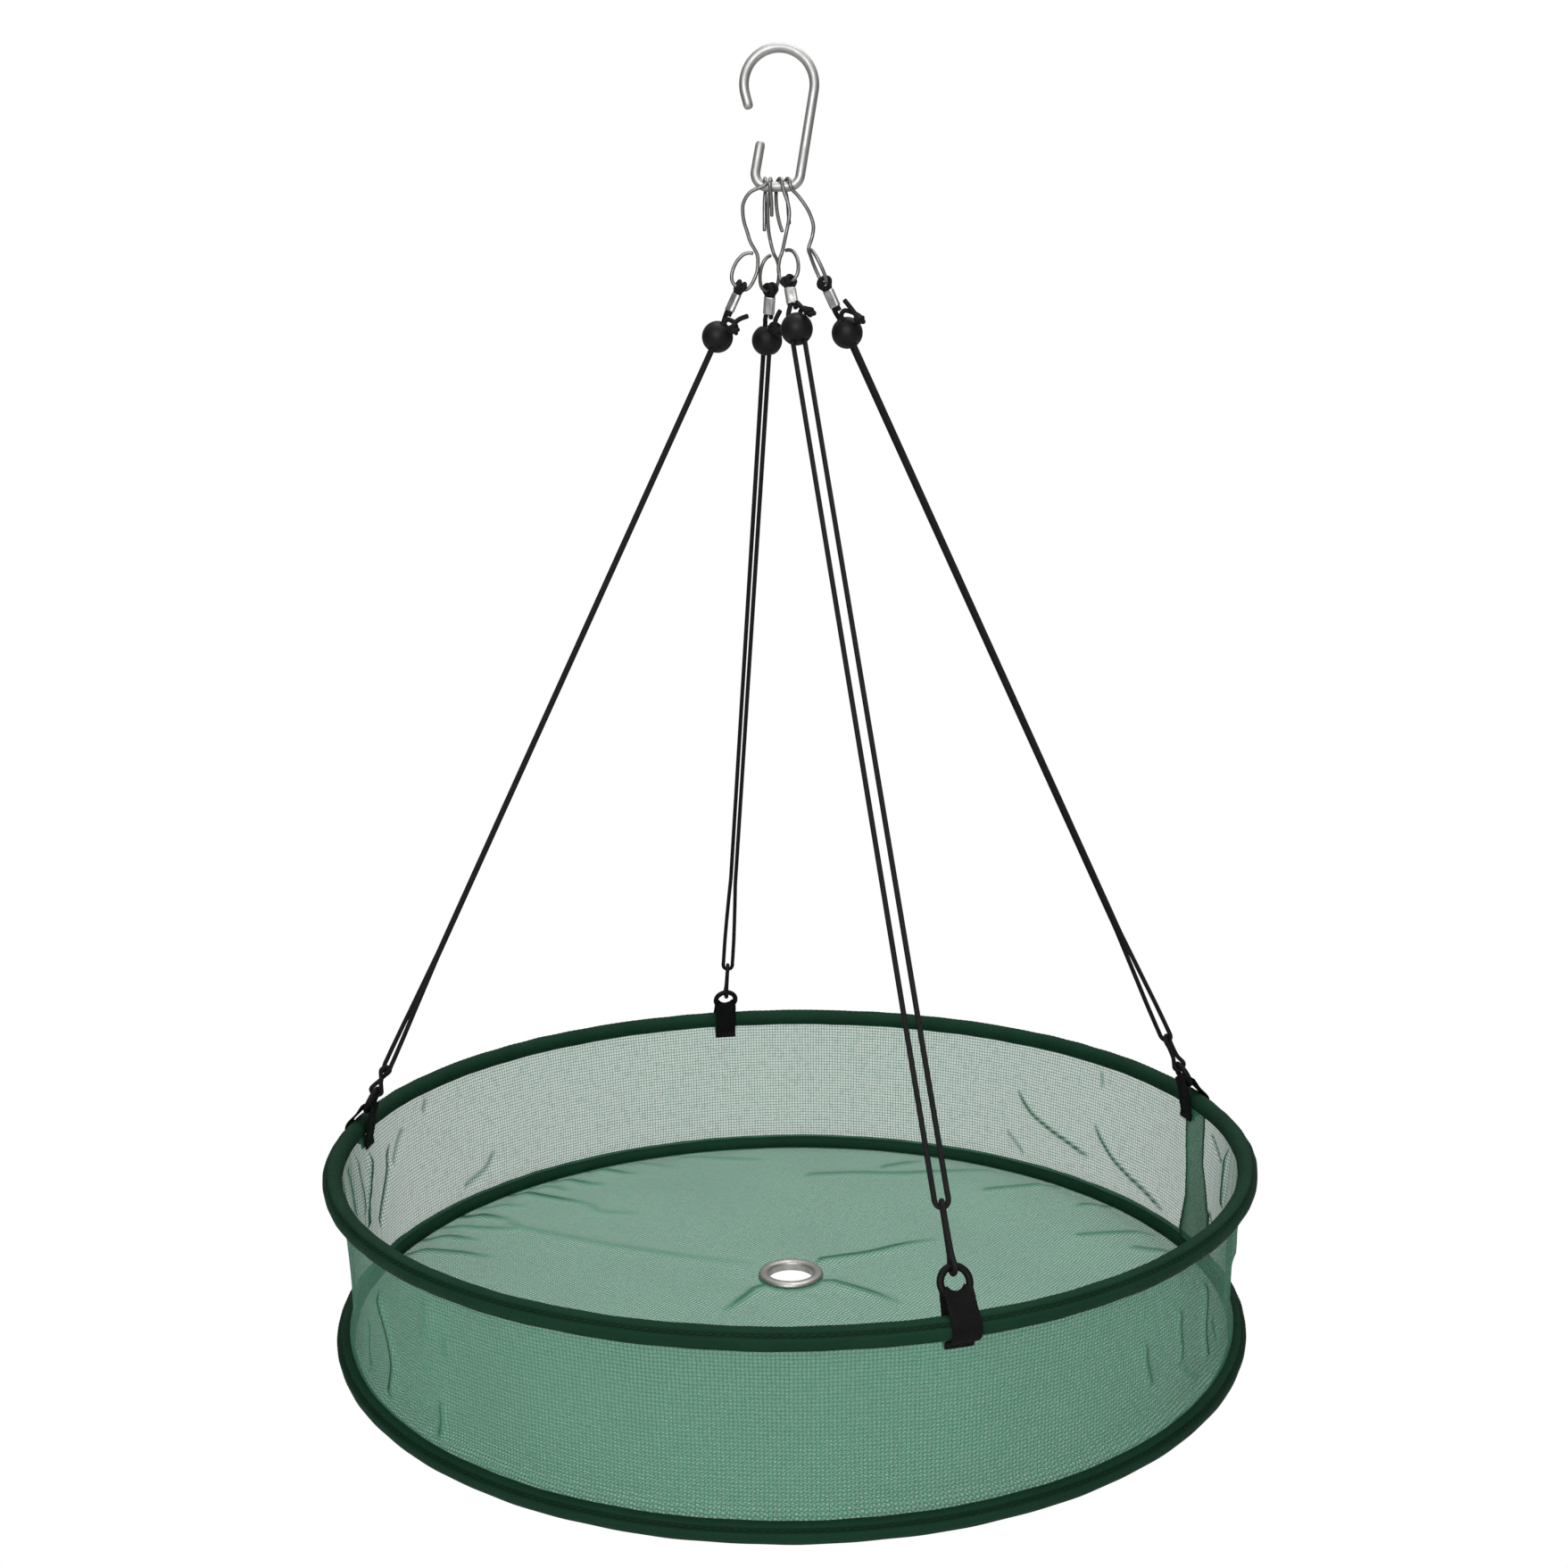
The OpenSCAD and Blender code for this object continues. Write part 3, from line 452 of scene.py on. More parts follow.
# %% Node wiring helpers
class Wires:
    """Adds nodes to one tree. Each call returns what it puts out."""

    def __init__(self, tree):
        self.tree = tree

    def feed(self, socket, value):
        """Links a socket to an output, or sets it to a plain value."""
        if isinstance(value, bpy.types.NodeSocket):
            self.tree.links.new(value, socket)
        else:
            socket.default_value = value

    def put(self, kind, inputs=None, out=0, **settings):
        node = self.tree.nodes.new(kind)
        for key, value in settings.items():
            setattr(node, key, value)
        for key, value in (inputs or {}).items():
            self.feed(node.inputs[key], value)
        return node.outputs[out]

    def math(self, operation, *values):
        return self.put("ShaderNodeMath", dict(enumerate(values)), operation=operation)

    def vector(self, operation, a, b):
        return self.put("ShaderNodeVectorMath", {0: a, 1: b}, operation=operation)

    def parts(self, vector):
        """A vector's x, y and z."""
        node = self.tree.nodes.new("ShaderNodeSeparateXYZ")
        self.feed(node.inputs[0], vector)
        return node.outputs

    def noise(self, vector, scale, detail, out=0):
        return self.put("ShaderNodeTexNoise", {"Vector": vector, "Scale": scale, "Detail": detail}, out)

    def span(self, value, low, high, to_low=0.0, to_high=1.0, kind="SMOOTHSTEP"):
        """A value's place between low and high, moved between to_low and to_high."""
        ends = {"From Min": low, "From Max": high, "To Min": to_low, "To Max": to_high}
        return self.put("ShaderNodeMapRange", {"Value": value, **ends}, interpolation_type=kind)

    def blend(self, share, a, b):
        """A colour between two colours."""
        node = self.tree.nodes.new("ShaderNodeMix")
        node.data_type = "RGBA"
        for number, value in ((0, share), (6, a), (7, b)):
            self.feed(node.inputs[number], (*value, 1.0) if isinstance(value, tuple) else value)
        return node.outputs[2]

    def group(self, tree, **inputs):
        """A group's node, with its inputs set by name."""
        node = self.tree.nodes.new("ShaderNodeGroup")
        node.node_tree = tree
        for key, value in inputs.items():
            self.feed(node.inputs[key], value)
        return node.outputs


def pattern_group(name, inputs, outputs):
    """An empty group with named sockets: its tree, wires and inputs, and a function that wires an output."""
    tree = bpy.data.node_groups.new(name, "ShaderNodeTree")
    tree.interface.new_socket("Vector", in_out="INPUT", socket_type="NodeSocketVector")
    for label, value in inputs.items():
        tree.interface.new_socket(label, in_out="INPUT", socket_type="NodeSocketFloat").default_value = value
    for label in outputs:
        tree.interface.new_socket(label, in_out="OUTPUT", socket_type="NodeSocketFloat")
    given = tree.nodes.new("NodeGroupInput").outputs
    out = tree.nodes.new("NodeGroupOutput").inputs
    return tree, Wires(tree), given, lambda label, value: tree.links.new(value, out[label])


# %% The holes of a net
# Threads cross on a square lattice, a little off it where a slow noise pushes them. Inside each square the
# number (|u|^4 + |v|^4)^(1/4) is the size of a rounded square through the point, and thread starts where it
# passes the hole's half side. Near a corner of the lattice both threads lie on each other, which is the
# knot.
net_holes, w, given, put_out = pattern_group(
    "net holes", {"Pitch": 1.5, "Hole": 0.3, "Soft": 0.09, "Wander": 0.18}, ["Thread", "Knot", "Height"])
push = w.vector("SUBTRACT", w.noise(given["Vector"], 0.22, 2.0, out=1), (0.5, 0.5, 0.5))
reach = w.math("MULTIPLY", given["Wander"], 4.0)
push = w.put("ShaderNodeVectorMath", {0: push, "Scale": reach}, operation="SCALE")
pushed = w.parts(w.vector("ADD", given["Vector"], push))
in_square = [w.math("FRACT", w.math("DIVIDE", pushed[k], given["Pitch"])) for k in (0, 1)]
u, v = (w.math("ABSOLUTE", w.math("SUBTRACT", place, 0.5)) for place in in_square)
size = w.math("POWER", w.math("ADD", w.math("POWER", u, 4.0), w.math("POWER", v, 4.0)), 0.25)
start = w.math("SUBTRACT", given["Hole"], given["Soft"])
put_out("Thread", w.span(size, start, w.math("ADD", given["Hole"], given["Soft"])))
put_out("Knot", w.math("MULTIPLY", w.span(u, 0.26, 0.46), w.span(v, 0.26, 0.46)))
put_out("Height", w.span(size, start, 0.5))

# %% A plain weave
# Two sets of ribs cross, and a checker of their signs says which one is on top.
plain_weave, w, given, put_out = pattern_group("plain weave", {"Warp": 0.8, "Weft": 0.8}, ["Height"])
place = w.parts(given["Vector"])
turns = [w.math("DIVIDE", place[k], given[label]) for k, label in ((0, "Warp"), (1, "Weft"))]
waves = [w.math("SINE", w.math("MULTIPLY", turn, math.pi)) for turn in turns]
over = w.span(w.math("MULTIPLY", *waves), -0.15, 0.15)
ribs = [w.math("ABSOLUTE", wave) for wave in waves]
first, second = w.math("MULTIPLY", ribs[0], over), w.math("MULTIPLY", ribs[1], w.math("SUBTRACT", 1.0, over))
put_out("Height", w.math("ADD", first, second))

# %% Slow blotches and fine grain
blotches, w, given, put_out = pattern_group("blotches", {"Size": 20.0, "Grain": 1.0}, ["Slow", "Fine"])
for label, width, detail in (("Slow", "Size", 2.0), ("Fine", "Grain", 3.0)):
    put_out(label, w.noise(given["Vector"], w.math("DIVIDE", 1.0, given[width]), detail))
print("pattern groups:", ", ".join(tree.name for tree in bpy.data.node_groups))


# %% What every finish starts with
class Finish(Wires):
    """A material with one Principled shader."""

    def __init__(self, name):
        self.material = bpy.data.materials.new(name)
        self.material.use_nodes = True
        super().__init__(self.material.node_tree)
        self.sockets = next(n for n in self.tree.nodes if n.type == "BSDF_PRINCIPLED").inputs

    def cloth(self):
        """The piece's own UV map: mm along and across it, or turns round a tube and mm along it."""
        return self.put("ShaderNodeUVMap", uv_map="cloth_mm")

    def spots(self, size, grain):
        """Slow blotches of a size in mm and finer grain, by the place in the whole tray."""
        place = self.put("ShaderNodeTexCoord", out="Object")
        place_mm = self.vector("MULTIPLY", place, (1000.0, 1000.0, 1000.0))
        return self.group(blotches, Vector=place_mm, Size=size, Grain=grain)

    def weave(self, warp, weft, vector=None):
        """The weave's height, on the piece's own map unless another vector is given."""
        on = self.cloth() if vector is None else vector
        return self.group(plain_weave, Vector=on, Warp=warp, Weft=weft)["Height"]

    def mask(self, name):
        """A value on each point of the mesh."""
        return self.put("ShaderNodeAttribute", attribute_name=name, out="Fac")

    def look(self, color, rough, gloss=None):
        """Base colour and roughness, and how strongly light is mirrored by what isn't metal."""
        self.feed(self.sockets["Base Color"], color)
        self.feed(self.sockets["Roughness"], rough)
        if gloss is not None:
            self.sockets["Specular IOR Level"].default_value = gloss

    def raised(self, height, strength, distance_mm):
        """Bends the normal as a height would, and gives the finished material."""
        values = {"Strength": strength, "Distance": distance_mm * MM, "Height": height}
        self.feed(self.sockets["Normal"], self.put("ShaderNodeBump", values))
        return self.material


def shaded(color, factor):
    return tuple(c * factor for c in color)


# %% [markdown]
# ## Finishes of cord, webbing and rubber
# All the small black pieces are nearly the same black, so they are told apart by how light slides off them.
# The cord is a soft braid, the webbing has ribs, and the balls and rings are smooth with a satin gloss.

# %% Black cord, webbing, balls and rings
BLACK = (0.0052, 0.0052, 0.0054)
solid_finishes = len(bpy.data.materials)


def braided_black(name, carriers=6.0, lay_mm=1.5):
    """A braid: the turns round the cord and the length along it, added and taken away, cross like a weave."""
    f = Finish(name)
    uv = f.parts(f.cloth())
    turns, laid = f.math("MULTIPLY", uv[0], carriers), f.math("DIVIDE", uv[1], lay_mm)
    both = {"X": f.math("ADD", turns, laid), "Y": f.math("SUBTRACT", turns, laid)}
    weave, spots = f.weave(0.5, 0.5, f.put("ShaderNodeCombineXYZ", both)), f.spots(14.0, 0.5)
    # The braid's low places are painted shade and its crowns a painted sheen.
    color = f.blend(weave, shaded(BLACK, 0.45), shaded(BLACK, 1.7))
    color = f.blend(f.span(spots["Slow"], 0.35, 0.7), color, shaded(BLACK, 1.5))
    f.look(color, f.span(spots["Fine"], 0.3, 0.7, 0.62, 0.82), 0.22)
    return f.raised(weave, 0.7, 0.12)


def ribbed_black():
    """Flat webbing: close ribs across it, finer threads along it, and a little lint."""
    f = Finish("black_webbing")
    weave, spots = f.weave(0.55, 0.9), f.spots(6.0, 0.35)
    # The ribs' low places are painted shade and their crowns a painted sheen.
    color = f.blend(weave, shaded(BLACK, 0.2), shaded(BLACK, 0.6))
    color = f.blend(f.span(spots["Fine"], 0.6, 0.8, 0.0, 0.5), color, shaded(BLACK, 1.6))
    f.look(color, f.span(spots["Slow"], 0.3, 0.7, 0.7, 0.88), 0.16)
    return f.raised(weave, 0.8, 0.2)


def moulded_black(name, rough, gloss, grain):
    """Moulded rubber or plastic: a faint grain, and roughness that wanders a little."""
    f = Finish(name)
    spots = f.spots(3.5, grain)
    color = f.blend(spots["Slow"], shaded(BLACK, 0.9), shaded(BLACK, 1.5))
    f.look(color, f.span(spots["Slow"], 0.3, 0.7, rough - 0.07, rough + 0.07), gloss)
    return f.raised(spots["Fine"], 0.25, 0.03)


black_cord = braided_black("black_cord")
black_thread = braided_black("black_thread", carriers=2.0, lay_mm=0.5)
black_webbing = ribbed_black()
black_ball = moulded_black("black_ball", 0.5, 0.2, 0.25)
black_ring = moulded_black("black_ring", 0.55, 0.1, 0.3)
print("black finishes:", len(bpy.data.materials) - solid_finishes)

# %% [markdown]
# ## Finishes of metal
# Bright wire is drawn through a die, which leaves faint lines along it. A metal shows mostly what is round
# it, so its looks come from the light; the finish adds dull patches and fine lines to break the reflections
# up.


# %% Bright wire and pressed metal
def bright_metal(name, color, rough, patch_mm, lined=False):
    """Metal with dull patches, and with fine lines along it or a faint grain."""
    f = Finish(name)
    spots = f.spots(patch_mm, 0.3)
    dull = f.blend(f.span(spots["Slow"], 0.35, 0.75), color, shaded(color, 0.78))
    f.look(dull, f.span(spots["Slow"], 0.3, 0.75, rough, rough + 0.14))
    f.sockets["Metallic"].default_value = 1.0
    if not lined:
        return f.raised(spots["Fine"], 0.1, 0.02)
    stretched = f.vector("MULTIPLY", f.cloth(), (30.0, 0.12, 1.0))  # noise pulled long along the piece
    return f.raised(f.noise(stretched, 1.0, 2.0), 0.12, 0.02)


hook_steel = bright_metal("hook_steel", (0.5, 0.5, 0.49), 0.46, 14.0)
clip_steel = bright_metal("clip_steel", (0.25, 0.245, 0.235), 0.38, 5.0)
sleeve_aluminium = bright_metal("sleeve_aluminium", (0.56, 0.56, 0.55), 0.34, 3.0, lined=True)
eyelet_nickel = bright_metal("eyelet_nickel", (0.5, 0.485, 0.455), 0.4, 6.0, lined=True)
hoop_steel = bright_metal("hoop_steel", (0.5, 0.5, 0.49), 0.35, 15.0)
ferrule_aluminium = bright_metal("ferrule_aluminium", (0.68, 0.68, 0.67), 0.4, 6.0)
washer_nickel = bright_metal("washer_nickel", (0.7, 0.69, 0.66), 0.3, 6.0)
print("black and metal finishes:", len(bpy.data.materials) - solid_finishes)

# %% [markdown]
# ## Finishes of green cloth
# The net is see-through because of its holes, so its alpha is the thread pattern, softened to stand for
# threads that are finer than a pixel. Where the net folds on itself it is closer and much darker, which a
# value on each point of the mesh says; the darkness is painted shade in the creases and at the wall's sides.
# Its knots also get painted shade, and the edges of its holes a pale painted sheen. The binding is
# close-woven and darker, with painted shade in its groove and in the low places of its weave, and painted
# sheen on the weave's crowns. Its sewing thread is a little paler than the painted shade of the groove that
# it lies in.

# %% Net, binding and sewing thread
THREAD = (0.055, 0.265, 0.155)
SEAM_THREAD = (0.055, 0.24, 0.135)
BINDING_GREEN = (0.0065, 0.036, 0.018)
NET_PITCH = 1.5


def net_finish(name, color, hole, open_alpha=0.26, thread_alpha=0.6, wander=0.18):
    """Thread on a lattice with painted shade in its knots and a pale painted sheen round its holes; closer
    where the net folds on itself, and much darker there, in the creases and at the wall's sides, as painted
    shade.
    """
    f = Finish(name)
    holes = f.group(net_holes, Vector=f.cloth(), Pitch=NET_PITCH, Hole=hole, Wander=wander)
    spots, fold = f.spots(40.0, 2.6), f.mask("folded")
    alpha = f.span(holes["Thread"], 0.0, 1.0, open_alpha, thread_alpha, "LINEAR")
    closer = f.math("MAXIMUM", fold, f.span(spots["Fine"], 0.45, 0.7, 0.0, 0.1))
    filled = f.math("MULTIPLY", f.math("SUBTRACT", 1.0, alpha), closer)
    f.feed(f.sockets["Alpha"], f.math("ADD", alpha, filled))
    thread = f.blend(f.span(spots["Slow"], 0.3, 0.7), color, shaded(color, 0.9))
    # Painted shade in the knots, where the threads lie on each other.
    thread = f.blend(f.math("MULTIPLY", holes["Knot"], 0.45), thread, shaded(color, 0.45))
    # Round the holes, where the alpha stands for threads finer than a pixel, the colour is paler: a painted
    # sheen of the threads.
    thread = f.blend(holes["Thread"], tuple(0.75 * c + 0.1 for c in color), thread)
    # Where the net folds on itself, in its creases and at the wall's sides, the colour is much darker:
    # painted shade.
    thread = f.blend(f.span(fold, 0.3, 1.0), thread, shaded(color, 0.22))
    f.look(thread, f.span(spots["Fine"], 0.3, 0.7, 0.66, 0.86), 0.25)
    f.material.use_transparent_shadow = True
    return f.raised(holes["Height"], 0.3, 0.15)


def binding_finish():
    """Close cloth wound on a roll, with painted shade in its groove and in the weave's low places, and a
    slight painted sheen on the weave's crowns.
    """
    f = Finish("green_binding")
    weave, spots = f.weave(0.6, 0.5), f.spots(30.0, 1.2)
    # The weave's low places are painted shade and its crowns a painted sheen.
    color = f.blend(weave, shaded(BINDING_GREEN, 0.6), shaded(BINDING_GREEN, 1.25))
    color = f.blend(f.span(spots["Slow"], 0.3, 0.7), color, shaded(BINDING_GREEN, 0.85))
    # Painted shade in the groove where the roll's edge sinks in.
    color = f.blend(f.mask("groove"), color, shaded(BINDING_GREEN, 0.45))
    f.look(color, f.span(spots["Fine"], 0.3, 0.7, 0.55, 0.72), 0.08)
    return f.raised(weave, 0.5, 0.12)


def sewing_finish():
    """Plain thread, a little uneven in its green."""
    f = Finish("green_sewing")
    f.look(f.blend(f.spots(4.0, 0.3)["Fine"], shaded(BINDING_GREEN, 0.6), BINDING_GREEN), 0.55, 0.1)
    return f.material


green_net = net_finish("green_net", THREAD, 0.39)
# The floor's thread is a 1.1 times lighter copy of the wall's: painted light from above.
green_floor = net_finish("green_floor", shaded(THREAD, 1.1), 0.36,
                         open_alpha=0.38, thread_alpha=0.82, wander=0.35)
green_seam = net_finish("green_seam", SEAM_THREAD, 0.26, open_alpha=0.5)
green_binding = binding_finish()
green_sewing = sewing_finish()
print("all finishes:", len(bpy.data.materials) - solid_finishes)

# %% [markdown]
# ## The cords and their knots
# The path starts where the cord leaves the sleeve's lower end, and ends past the knot. The knot is a
# small trefoil: a curve that winds twice round a ring while it goes three times through it, which is how
# an overhand knot lies.

# %% Cords and knots
KNOT_SCALE, KNOT_CORD_R, KNOT_DEEP, KNOT_TURN = 0.63, 0.92, 1.25, 25
KNOT_UP = unit([0.35, 0.2, 1.0])


def trefoil(i, steps=64):
    """Points ((2 + cos 3t) cos 2t, (2 + cos 3t) sin 2t, 1.25 sin 3t), scaled, at a line's knot."""
    t = full_turn(steps)
    out = 2 + np.cos(3 * t)
    p = columns(out * np.cos(2 * t), out * np.sin(2 * t), KNOT_DEEP * np.sin(3 * t))
    return seat(from_eye(i, CORD_KNOT[i])[0], KNOT_UP, p * KNOT_SCALE, KNOT_TURN * i)


for i, side in enumerate(SIDES):
    path = CORD_PATHS[i][::-1]
    cord = make_piece(f"cord_{side}", [tube_grid(path, CORD_D / 2, 16, ends=0.6)],
                      black_cord, "black_cord", "rigging")
    knot = make_piece(f"cord_knot_{side}", [tube_grid(trefoil(i), KNOT_CORD_R, 12, closed=True)],
                      black_cord, "black_cord", "rigging")
for side, path in zip(SIDES, LINK_PATHS):
    link = make_piece(f"link_loop_{side}", [tube_grid(path, CORD_D / 2, 16, closed=True)],
                      black_cord, "black_cord", "rigging")
    whole = np.concatenate([path, path[:1]])
    float(along(whole)[-1] * MM)
print("cords:", len(CORD_PATHS), "long and", len(LINK_PATHS), "short, each", CORD_D, "mm thick")

# %% [markdown]
# ## Balls, rings and sleeves
# The ball is a moulded ball with two holes, and the cord's strands run through them. A grid ball is pressed
# in round each strand, so that each hole has a soft rim. The ring is a round torus with a faint moulding
# line. The sleeve is two round barrels side by side that were crimped, so it is dented in its middle.

# %% Stop balls
BALL_DENT, DENT_R, MOULD_LINE, MOULD_HALF = 0.95, 1.45, 0.05, 0.25


def bell(x):
    """The bell curve exp(-x^2)."""
    return np.exp(-(x**2))


def ball_grid(i, rows=48, cols=72):
    """A sphere with its poles on its y axis and a raised line round its middle.

    It is sunk by a bell curve of the squared distance to each strand's axis.
    """
    v, u, r = np.pi * (np.arange(rows)[:, None] + 0.5) / rows, full_turn(cols), BALL_D / 2
    p = columns(np.sin(v) * np.cos(u), np.cos(v), np.sin(v) * np.sin(u))
    x, y = r * p[..., 0], r * p[..., 1]
    sunk = sum(bell(((x - s * STRAND_GAP / 2) ** 2 + y**2) / DENT_R**2) for s in (-1, 1))
    p = p * (r - BALL_DENT * sunk + MOULD_LINE * bell(y / MOULD_HALF))[..., None]
    points = seat(EYE[i] - BALL_AT * LINE_UP[i], LINE_UP[i], p, BALL_TURN[i])
    return points, even_map(rows, cols, np.pi * r / rows, 2 * np.pi * r / cols), False, False


for i, side in enumerate(SIDES):
    make_piece(f"stop_ball_{side}", [ball_grid(i)], black_ball, "black_ball", f"ball_{side}")
print("balls:", BALL_D, "mm across, their strands", STRAND_GAP, "mm apart")

# %% Rings and sleeves
RING_LINE, RING_LINE_HALF = 0.012, 0.12
SLEEVE_FIT, SLEEVE_DENT, CRIMP_DENT, CRIMP_HALF, EDGE_ROUND = 0.05, 0.1, 0.16, 0.22, 0.12


def ring_grid(i, rows=96, cols=32):
    """A torus: the rod's middle runs on a circle, and the rod is a little thicker at its moulding line."""
    u, a = full_turn(rows)[:, None], full_turn(cols)
    rod = RING_ROD_D / 2 * (1 + RING_LINE * bell(np.minimum(a, 2 * np.pi - a) / RING_LINE_HALF))
    out = RING_R + rod * np.cos(a)
    points = from_ring(i, columns(np.cos(u) * out, rod * np.sin(a), np.sin(u) * out), ring_turn(i))
    return points, even_map(rows + 1, cols, 0.35, 0.25), True, False


def barrel_oval(r, dent, a):
    """x = half sgn(cos a) |cos a|^0.5 + r cos a, y = r sin a less a waist between the barrels."""
    half, c = SLEEVE_GAP / 2, np.cos(a)
    x = half * np.sign(c) * np.abs(c) ** 0.5 + r * c
    return columns(x, r * np.sin(a) * (1 - dent * bell(x / (0.55 * half + 0.3))))


def sleeve_grid(i, rows=24, cols=48):
    """The wall of two barrels: out along the crimped outside, and back along the bore."""
    bore, t, a = CORD_D / 2 + SLEEVE_FIT, np.linspace(0, 1, rows), full_turn(cols)
    dent = SLEEVE_DENT + CRIMP_DENT * bell((t - 0.5) / CRIMP_HALF)
    rounded = np.isin(np.arange(rows), (0, rows - 1)) * EDGE_ROUND
    walls = [barrel_oval(bore + SLEEVE_T - rounded[k], dent[k], a) for k in range(rows)]
    profile = np.array(walls + [barrel_oval(bore + 0.02, SLEEVE_DENT, a)] * 2)
    up = np.concatenate([t, [1, 0]])[:, None] * SLEEVE_L
    foot = EYE[i] - (SLEEVE_TOP + SLEEVE_L) * LINE_UP[i]
    points = seat(foot, LINE_UP[i], columns(profile[..., 0], profile[..., 1], up), SLEEVE_TURN[i])
    return points, even_map(rows + 3, cols, 0.33, 0.2), True, False


for i, side in enumerate(SIDES):
    make_piece(f"tab_ring_{side}", [ring_grid(i)], black_ring, "black_ring", "rigging")
    make_piece(f"crimp_sleeve_{side}", [sleeve_grid(i)], sleeve_aluminium, "sleeve_aluminium", "rigging")
print("rings:", RING_D, "mm; sleeves:", SLEEVE_L, "mm long")

# %% [markdown]
# ## The hook and the clips
# The hook is one bent rod, so it is a round tube along arcs and straights in one plane. Each clip is a
# thinner wire with a short end, a turn over the hook, a bulged body and an open eye, along a smooth curve
# in space.


# %% Hook
def arc(x, z, r, start, end, steps):
    """Points of a circle in the hook's plane."""
    a = np.linspace(start, end, steps + 1)
    return columns(x + r * cos(a), 0, z + r * sin(a))


def hook_path():
    """Tip, large loop, long straight leg, lower bend, flat, second bend and short leaning end."""
    loop = arc(0, HOOK_LOOP_Z, HOOK_LOOP_R, HOOK_OPEN_AT, -HOOK_LEAN, 90)
    right_bend = arc(HOOK_BEND_X, HOOK_BEND_Z, HOOK_BEND_R, -HOOK_LEAN, -90, 24)
    left_bend = arc(HOOK_BEND_X - HOOK_FLAT, HOOK_BEND_Z, HOOK_BEND_R, 270, 180 - HOOK_END_LEAN, 30)
    tip = loop[:1] + HOOK_TIP_L * columns(-sin(HOOK_OPEN_AT), 0, cos(HOOK_OPEN_AT))
    end = left_bend[-1:] + HOOK_END_L * columns(sin(HOOK_END_LEAN), 0, cos(HOOK_END_LEAN))
    return split_long(np.concatenate([tip, loop, right_bend, left_bend, end]), 1.0)


hook = tube_grid(hook_path(), HOOK_WIRE_D / 2, 40, ends=1.0)
make_piece("hanging_hook", [hook], hook_steel, "hook_steel", "hook")
print("hook wire:", round(float(along(hook_path())[-1])), "mm long")

# %% Clips
CLIP_END = [[[-0.7, 1.2, 18.5], [-1.5, 1.6, 14], [-1.9, 2.1, 8.5], [-1.7, 2.7, 3]],
            [[-4.6, 1.2, 13.5], [-3.5, 1.5, 10], [-2.2, 2, 6], [-1.4, 2.7, 2.5]],
            [[0.5, -1.4, 11], [0.4, -2, 6.5], [0.1, -2.7, 2.5]],
            [[4, 1, 16.5], [2.6, 1.4, 11.3], [1.3, 2, 6.3], [0.6, 2.7, 2.7]]]
CLIP_BODY = [
    [[1.6, -2.7, 4], [2.6, -2.1, 8], [2.9, -1.5, 12], [2.3, -1, 15.5], [1, -0.6, 20]],
    [[1.4, -2.7, 2.5], [2.6, -2.2, 5.2], [3.9, -1.8, 9.7], [4.5, -1.2, 14], [4.1, -0.8, 18.4],
     [2.2, -0.2, 22]],
    [[-0.6, 2.8, 3.5], [-1.1, 2.3, 8], [-1.1, 1.5, 13], [-0.7, 0.9, 18], [0.1, 0.5, 22]],
    [[-5.2, -2.7, 4], [-6.9, -1.8, 8.5], [-6.3, -1.3, 12.2], [-4.8, -0.8, 15.8], [-2.6, -0.4, 19.2],
     [-0.3, -0.2, 22.7]]]
CLIP_EYE = [[0.6, 15.2], [2.4, 12.4], [3.7, 8.8], [4, 5.2], [3.6, 1.9], [2.3, 0], [0, 0], [-2.5, 0],
            [-4.6, 1.8], [-5.6, 5.2], [-5.5, 9], [-4.3, 12.3], [-2.7, 13.9], [-1.2, 14.5]]


def clip_route(i):
    """Short end, half turn over the hook's wire, body, and eye."""
    turn_r, a = (HOOK_WIRE_D + CLIP_WIRE_D) / 2 + CLIP_FIT, HALF_CIRCLE
    over = clip_top(i) + columns(-CLIP_SKEW[i] * cos(a), END_SIDE[i] * turn_r * cos(a), turn_r * sin(a))
    end, body = (seat(clip_top(i), -CLIP_DOWN[i], np.array(leg) * [1, 1, -1])
                 for leg in (CLIP_END[i], CLIP_BODY[i]))
    x, up = np.array(CLIP_EYE).T
    return np.concatenate([end, over, body, from_eye(i, columns(EYE_SIDE[i] * x, 0, -up), EYE_TURN[i])])


for i, side in enumerate(SIDES):
    wire = tube_grid(curve(clip_route(i), 8), CLIP_WIRE_D / 2, 20, ends=0.7)
    make_piece(f"snap_clip_{side}", [wire], clip_steel, "clip_steel", "rigging")
    print(side, "clip wire:", round(float(along(clip_route(i))[-1])), "mm")

# %% [markdown]
# ## The bindings
# A binding is a strip of cloth rolled round the hoop and sewn through, so its edge leaves a groove all the
# way round, and the stitches pull the cloth into small puckers. It is a tube along a circle, whose radius
# changes round the roll for the groove and along it for the puckers. The stitches are one piece of many
# short beads.

# %% Bindings
GROOVE_AT, GROOVE_HALF, GROOVE_DEEP, STITCH_L = 41, 15, 0.75, 3.1
EDGE_UP, EDGE_OFF, EDGE_HALF, PULL_HALF, LONG_PUCKER_L = 0.14, 7, 8, 42, 17.3
ROLL_R = BINDING_D / 2 - 0.3


